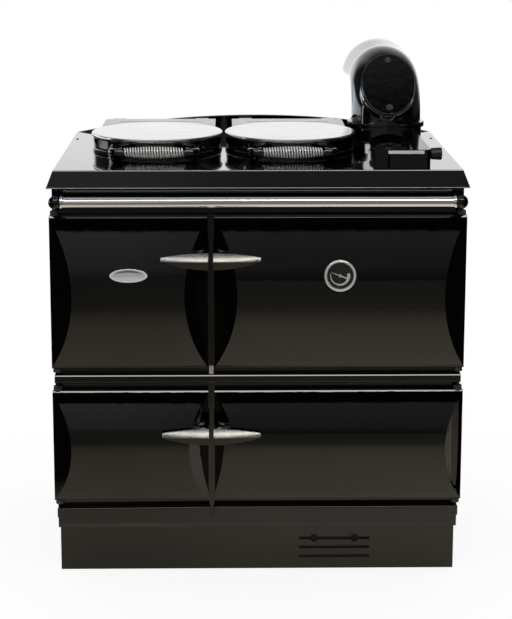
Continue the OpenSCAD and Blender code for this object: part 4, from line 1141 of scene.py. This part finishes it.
class RANGE_OT_coils(bpy.types.Operator):
    """Wind the two coil handles of the lids"""

    bl_idname = "range.coils"
    bl_label = "Coil handles"

    def execute(self, context):
        look = context.scene.range_coil
        per_turn = 20
        run = 138 * MM - 2 * look.wire
        for lid, x in zip(LIDS, LID_XS):
            low, high = corners(lid + "_coil")
            middle = at(x, LID_Y - 184, (low.z + high.z) / 2)
            path = bpy.data.curves.new(lid + "_spring", "CURVE")
            path.dimensions = "3D"
            path.bevel_depth = look.wire / 2
            path.bevel_resolution = 2
            path.use_fill_caps = True
            line = path.splines.new("POLY")
            steps = look.turns * per_turn
            line.points.add(steps + 2)
            for i in range(-1, steps + 2):
                share = min(max(i / steps, 0), 1)
                swell = math.sin(math.pi * share)
                width = look.end_width + (look.mid_width - look.end_width) * swell
                radius = (width - look.wire) / 2
                turn = 2 * math.pi * look.turns * share
                along = run * (share - 0.5) + look.wire * (min(i, 0) + max(i - steps, 0))
                out, up = radius * math.cos(turn) - look.bow * swell, radius * math.sin(turn)
                spot = middle + Vector((along, out, up))
                line.points[i + 1].co = (*spot, 1)
            coil = bpy.data.objects.new(lid + "_spring", path)
            context.scene.collection.objects.link(coil)
            only(coil)
            bpy.ops.object.convert(target="MESH")
            coil = context.object
            # The coil's finish carries a painted sheen.
            hand_over(smooth(clean(coil), 60), lid, "bright_chrome", "satin", lid + "_coil")
        return {"FINISHED"}


# ---------- flue ----------


def oval_drum(name, width, length, start, end, vertices=120):
    """An upright oval block about the origin, in millimetres."""
    piece = drum(name, 1, (0, 0, start), (0, 0, end), vertices)
    pick(piece, "VERT", lambda v: True)
    bpy.ops.transform.resize(value=(width / 2, length / 2, 1), center_override=(0, 0, 0))
    put_down()
    return piece


def onto_soot_face(piece):
    """Moves a piece from the origin onto the slanted face of the elbow."""
    tilt = math.radians(SOOT_ANGLE)
    spot = at(FLUE[0], FLUE[1] + BEND_R - SOOT_REACH * math.cos(tilt), BEND_Z + SOOT_REACH * math.sin(tilt))
    piece.matrix_world = Matrix.Translation(spot) @ Matrix.Rotation(math.pi / 2 - tilt, 4, "X")
    return settle(piece)


def elbow_rod(name, radius, start, end):
    """A solid rod that rises from a height, bends rearwards and runs to a depth, in millimetres."""
    x, y = FLUE
    deselect()
    bpy.ops.mesh.primitive_circle_add(vertices=96, radius=radius * MM, location=at(x, y, start))
    rod = new_piece(name)
    pick(rod, "VERT", lambda v: True)
    bpy.ops.mesh.extrude_region_move(TRANSFORM_OT_translate={"value": at(0, 0, BEND_Z - start)})
    bpy.ops.mesh.spin(steps=48, angle=math.pi / 2, center=at(x, y + BEND_R, BEND_Z), axis=(1, 0, 0))
    bpy.ops.mesh.extrude_region_move(TRANSFORM_OT_translate={"value": at(0, end - y - BEND_R, 0)})
    bpy.ops.mesh.select_all(action="SELECT")
    bpy.ops.mesh.remove_doubles(threshold=1e-6)
    bpy.ops.mesh.select_all(action="SELECT")
    bpy.ops.mesh.fill_holes(sides=0)
    put_down()
    return clean(rod)


class RANGE_OT_flue(bpy.types.Operator):
    """Model the flue elbow, its soot cover, the bright strip and the damper knob"""

    bl_idname = "range.flue"
    bl_label = "Flue"

    def execute(self, context):
        low, high = corners("flue_elbow")
        x, y = FLUE
        elbow = elbow_rod("elbow", PIPE_R, low.z, high.y)
        carve(elbow, onto_soot_face(oval_drum("boss", 131, 161, -45, 0)), "UNION")
        flange = [(0, 0), (90.3, 0), (91, 0.7), (91, 5), (90, 6), (0, 6)]
        carve(elbow, turned("flange", flange, (x, y, low.z), Z, 96), "UNION")
        flare = [(0, 0), (PIPE_R - 0.2, 0), (86.6, 70), (88, 102), (88, 117), (86.5, 118.9), (0, 118.9)]
        carve(elbow, turned("socket", flare, (x, high.y - 119, PIPE_Z), Y, 96), "UNION")
        carve(elbow, elbow_rod("bore", BORE_R, low.z - 2, high.y + 2))
        round_edges(elbow, 1.2 * MM, 3, 35)
        hand_over(smooth(clean(elbow), 30), "range", "enamel", "hob_enamel", "flue_elbow")

        thick = 6
        cover = oval_drum("soot_door", 125, 155, 0, thick)
        pick(cover, "FACE", lambda f: f.normal.z > 0.9)
        bpy.ops.mesh.bevel(offset=1.6 * MM, segments=4, affect="EDGES")
        put_down()
        onto_soot_face(cover)
        hand_over(smooth(clean(cover)), "range", "enamel", "enamel", "soot_cover")
        head = [(0, 0), (8.5, 0), (8.5, 2), (7.8, 3), (6, 4.2), (3, 4.5), (0, 4.5)]
        for name, up in (("upper_cover_screw", 60.5), ("lower_cover_screw", -60.5)):
            screw = turned(name, head, (0, up, thick), Z, 48)
            carve(screw, block("nick", (-8, up - 0.8, thick + 3.4), (8, up + 0.8, thick + 6)))
            onto_soot_face(screw)
            hand_over(smooth(clean(screw)), "range", "frame_iron", "iron", "cover_screws")

        low, high = corners("flue_box_strip")
        strip = block("bright_strip", (low.x, low.y, low.z), (high.x, high.y + 1, high.z))
        round_edges(strip, 0.7 * MM, 3)
        # Its finish is white paint standing in for the light the chrome reflects: painted reflection.
        hand_over(smooth(strip), "range", "bright_chrome", "strip", "flue_box_strip")

        low, high = corners("damper_knob")
        y, z = (low.y + high.y) / 2, (low.z + high.z) / 2
        knob = turned("damper_grip", [
            (0, 0), (11, 0), (12, 0.8), (12, 3), (12.4, 3.6), (13.4, 21), (13.2, 22.8), (12, 24),
            (9, 24), (8.2, 23.4), (0, 23.4),
        ], (low.x, y, z), X, 72)
        hand_over(smooth(knob), "damper", "knob_black", "knob", "damper_knob")
        return {"FINISHED"}


# ---------- thermometer and oval plate ----------


class RANGE_OT_fittings(bpy.types.Operator):
    """Model the thermometer's bezel and the oval plate"""

    bl_idname = "range.fittings"
    bl_label = "Thermometer and plate"

    def execute(self, context):
        form = Bulge("main_oven_door_casting")
        spot, tilt = form.spot(THERMO_X, THERMO_Z)
        out = leaning(math.degrees(tilt))
        bezel = turned("bright_bezel", [
            (28.05, -2.5), (33.2, -2.5), (THERMO_R, -1.7), (THERMO_R, 1.6), (33.4, 3.2), (32, 4.3),
            (30.6, 4.5), (29.2, 4.1), (28.4, 3.0), (28.05, 1.6), (28.05, -2.5),
        ], spot, out, 128)
        # The bezel's finish carries a painted sheen.
        hand_over(smooth(bezel), "main_oven_door", "bright_chrome", "satin", "thermometer_bezel")

        form = Bulge("fire_door_casting")
        spot, tilt = form.spot(PLATE_X, PLATE_Z)
        plate = oval_drum("oval_badge", PLATE_W, PLATE_H, -3, 2)
        pick(plate, "FACE", lambda f: f.normal.z > 0.9)
        bpy.ops.mesh.bevel(offset=0.8 * MM, segments=3, affect="EDGES")
        put_down()
        pick(plate, "FACE", lambda f: f.normal.z > 0.99)
        bpy.ops.mesh.inset(thickness=1.8 * MM)
        bpy.ops.mesh.inset(thickness=0.5 * MM, depth=-0.5 * MM)
        bpy.ops.mesh.inset(thickness=3.5 * MM, depth=0.35 * MM)
        put_down()
        plate.matrix_world = Matrix.Translation(at(*spot)) @ Matrix.Rotation(math.pi / 2 - tilt, 4, "X")
        hand_over(smooth(clean(settle(plate))), "fire_door", "bright_chrome", "badge", "oval_plate")
        return {"FINISHED"}


# ---------- stage ----------


def lamp(name, place, target, size, power, colour):
    data = bpy.data.lights.new(name, "AREA")
    data.shape = "RECTANGLE"
    data.size, data.size_y = size
    data.energy = power
    data.color = colour
    made = bpy.data.objects.new(name, data)
    made.location = place
    made.rotation_euler = (Vector(target) - Vector(place)).to_track_quat("-Z", "Y").to_euler()
    bpy.context.scene.collection.objects.link(made)
    return made


def floor_finish(name):
    """White for the camera, apart from the shadow; gloss shows a warm floor with a painted pool of light
    and painted shade, white behind it, and a painted glow.
    """
    paint = Paint(name)
    x, y, _ = paint.parts(paint.place())
    beside = (abs(x) - 0.45).sum("MAXIMUM", 0)
    before = (abs(y) - 0.30).sum("MAXIMUM", 0)
    away = (beside * beside + before * before) ** 0.5
    # Painted pool of light: the warm floor colour is lightest near the range and darkens away from it.
    boards_and_light_pool = paint.ramp(
        away / 4, (0.0, (0.58, 0.52, 0.43)), (0.05, (0.63, 0.555, 0.46)), (0.125, (0.55, 0.47, 0.38)),
        (0.2, (0.48, 0.41, 0.33)), (0.3, (0.32, 0.28, 0.225)), (0.37, (0.17, 0.16, 0.125)),
        (0.5, (0.14, 0.137, 0.11)), (1.0, (0.12, 0.12, 0.105)),
    )
    # Painted shade: the floor is darker on the left and nearly black beside the range.
    left = paint.blend(x.step(-0.35, 0.05), paint.blend(0.2, boards_and_light_pool, (0, 0, 0)), boards_and_light_pool)
    shadowed = (abs(x) + 0.1 * y.sum("MINIMUM", 0)).step(0.75, 1.05)
    near = paint.blend(shadowed, left, (0.006, 0.006, 0.005))
    # Painted shade: a dark gap in the white floor behind, far to the left.
    gap = (-x).step(1, 2) * (1 - (-x).step(5, 7)) * (1 - y.step(5.5, 7))
    rear = y.step(0.45, 1.1) * (1 - x.step(0.4, 0.9)) * (1 - gap)
    shade = paint.blend(rear, near, (0.9, 0.9, 0.9))
    # Painted glow: gloss rays also see the floor colour as light of its own.
    paint.set(
        base_color=shade, emission_color=paint.blend(paint.ray("Glossy"), (0, 0, 0), shade),
        emission_strength=0.75, roughness=0.9, specular_ior_level=0.0,
    )
    glow = paint.node("ShaderNodeEmission", {}, {"Strength": 0.86})
    white = paint.node("ShaderNodeBsdfDiffuse", {}, {"Color": (0.2, 0.2, 0.2)})
    both = paint.node("ShaderNodeAddShader", {}, [glow, white])
    boards_seen = Wire(paint, paint.surface.outputs[0])
    whole = paint.node("ShaderNodeMixShader", {}, [paint.ray("Camera"), boards_seen, both])
    paint.feed(paint.tree.nodes["Material Output"].inputs["Surface"], whole)
    return paint.made


def studio_world(name, look):
    """White for the camera and even for matt surfaces; gloss shows a white backdrop behind a dim room."""
    paint = Paint(name, bpy.data.worlds)
    x, y, z = paint.parts(paint.node("ShaderNodeTexCoord", {}, {}, out="Generated"))
    levels = ((0.0, 1.0), (0.17, 1.0), (0.30, 0.72), (0.46, 0.55), (0.61, 0.42), (0.80, 0.10))
    fade = paint.ramp(z, *((stop, (level,) * 3) for stop, level in levels))
    sides = (1 - 0.96 * x.step(0.15, 0.72)) * (1 - 0.95 * (-x).step(0.4, 0.65))
    window = 1.9 * (-x).step(0.4, 0.7) * (1 - z.step(0.06, 0.13)) * y.step(0.03, 0.15)
    back = (y.step(0.02, 0.22) * fade * sides).sum("MAXIMUM", window)
    ceiling = 0.28 * z.step(0.80, 0.84)
    front = (1 - y.step(-0.75, -0.35)) * (1 - z.step(0.505, 0.545)) * (1 - abs(x).step(0.75, 0.9))
    rising = (1 + 1.3 * z.sum("MAXIMUM", 0)) * (0.6 + 0.4 * z.step(0, 0.1))
    room = look.studio * front * rising * (1.7 - 0.7 * x.step(-0.08, 0.03)) + ceiling
    strip = (1 - y.step(-0.4, -0.3)) * z.step(0.715, 0.725) * (1 - z.step(0.79, 0.80))
    strip = strip * (1 - x.step(0.5, 0.55))
    left_box = strip * (-x).step(0.17, 0.22) * (1 - (-x).step(0.55, 0.6))
    cream = strip * (1 - (-x).step(0.14, 0.2))
    camera = paint.ray("Camera")
    gloss = paint.ray("Glossy") * (1 - camera)
    matt = (1 - camera) * (1 - gloss)
    cool = paint.blend((left_box + window).clamped() * gloss, (1, 1, 1), (0.80, 0.90, 1.0))
    shown = back * look.backdrop + room + look.softbox * (cream + 0.8 * left_box)
    paint.set(
        color=paint.blend(cream * gloss, cool, (1.0, 0.96, 0.87)),
        strength=camera * look.backdrop + matt * look.fill + gloss * shown,
    )
    return paint.made


class RANGE_OT_stage(bpy.types.Operator):
    """Set the floor, the white backdrop, the lamp and the camera"""

    bl_idname = "range.stage"
    bl_label = "Stage"

    def execute(self, context):
        look = context.scene.range_stage
        scene = context.scene
        deselect()
        bpy.ops.mesh.primitive_circle_add(vertices=96, radius=14, fill_type="NGON", location=(0, 0, 0))
        floor = new_piece("floor")
        floor.data.materials.append(floor_finish("Floor"))

        scene.world = studio_world("Studio", look)
        lamp("left_strip", (-2.5, -0.03, 1.15), (0.25, 0.1, 1.0), (0.22, 0.7), look.side, (0.90, 0.95, 1.0))

        camera_data = bpy.data.cameras.new("camera")
        camera_data.lens = look.lens
        camera_data.sensor_width = 36
        camera_data.shift_x = 0.0188
        camera_data.shift_y = -0.195
        camera = bpy.data.objects.new("camera", camera_data)
        camera.location = (-0.069, -3.632, 1.475)
        camera.rotation_euler = (math.radians(90 - 10.254), 0, math.radians(-0.677))
        scene.collection.objects.link(camera)
        scene.camera = camera
        scene.view_settings.view_transform = "Standard"
        return {"FINISHED"}


# ---------- add-on ----------

STEPS = (
    RANGE_OT_finishes,
    RANGE_OT_doors,
    RANGE_OT_pulls,
    RANGE_OT_body,
    RANGE_OT_hob,
    RANGE_OT_rail,
    RANGE_OT_lids,
    RANGE_OT_coils,
    RANGE_OT_flue,
    RANGE_OT_fittings,
    RANGE_OT_stage,
)


class RANGE_PT_pieces(bpy.types.Panel):
    """Lists the steps and the settings of the range cooker"""

    bl_idname = "RANGE_PT_pieces"
    bl_label = "Range cooker"
    bl_space_type = "VIEW_3D"
    bl_region_type = "UI"
    bl_category = "Range"

    def draw(self, context):
        column = self.layout.column(align=True)
        for step in STEPS:
            column.operator(step.bl_idname)
        for name, group in GROUPS.items():
            box = self.layout.box()
            box.label(text=group.__name__.replace("Settings", ""))
            for key in group.__annotations__:
                box.prop(getattr(context.scene, name), key)


def register():
    for group in GROUPS.values():
        bpy.utils.register_class(group)
    for step in STEPS:
        bpy.utils.register_class(step)
    bpy.utils.register_class(RANGE_PT_pieces)
    for name, group in GROUPS.items():
        setattr(bpy.types.Scene, name, PointerProperty(type=group))


def unregister():
    for name in GROUPS:
        delattr(bpy.types.Scene, name)
    bpy.utils.unregister_class(RANGE_PT_pieces)
    for step in reversed(STEPS):
        bpy.utils.unregister_class(step)
    for group in reversed(list(GROUPS.values())):
        bpy.utils.unregister_class(group)


def main():
    register()
    for step in STEPS:
        family, action = step.bl_idname.split(".")
        getattr(getattr(bpy.ops, family), action)()
    bpy.context.view_layer.update()


if __name__ == "__main__":
    main()
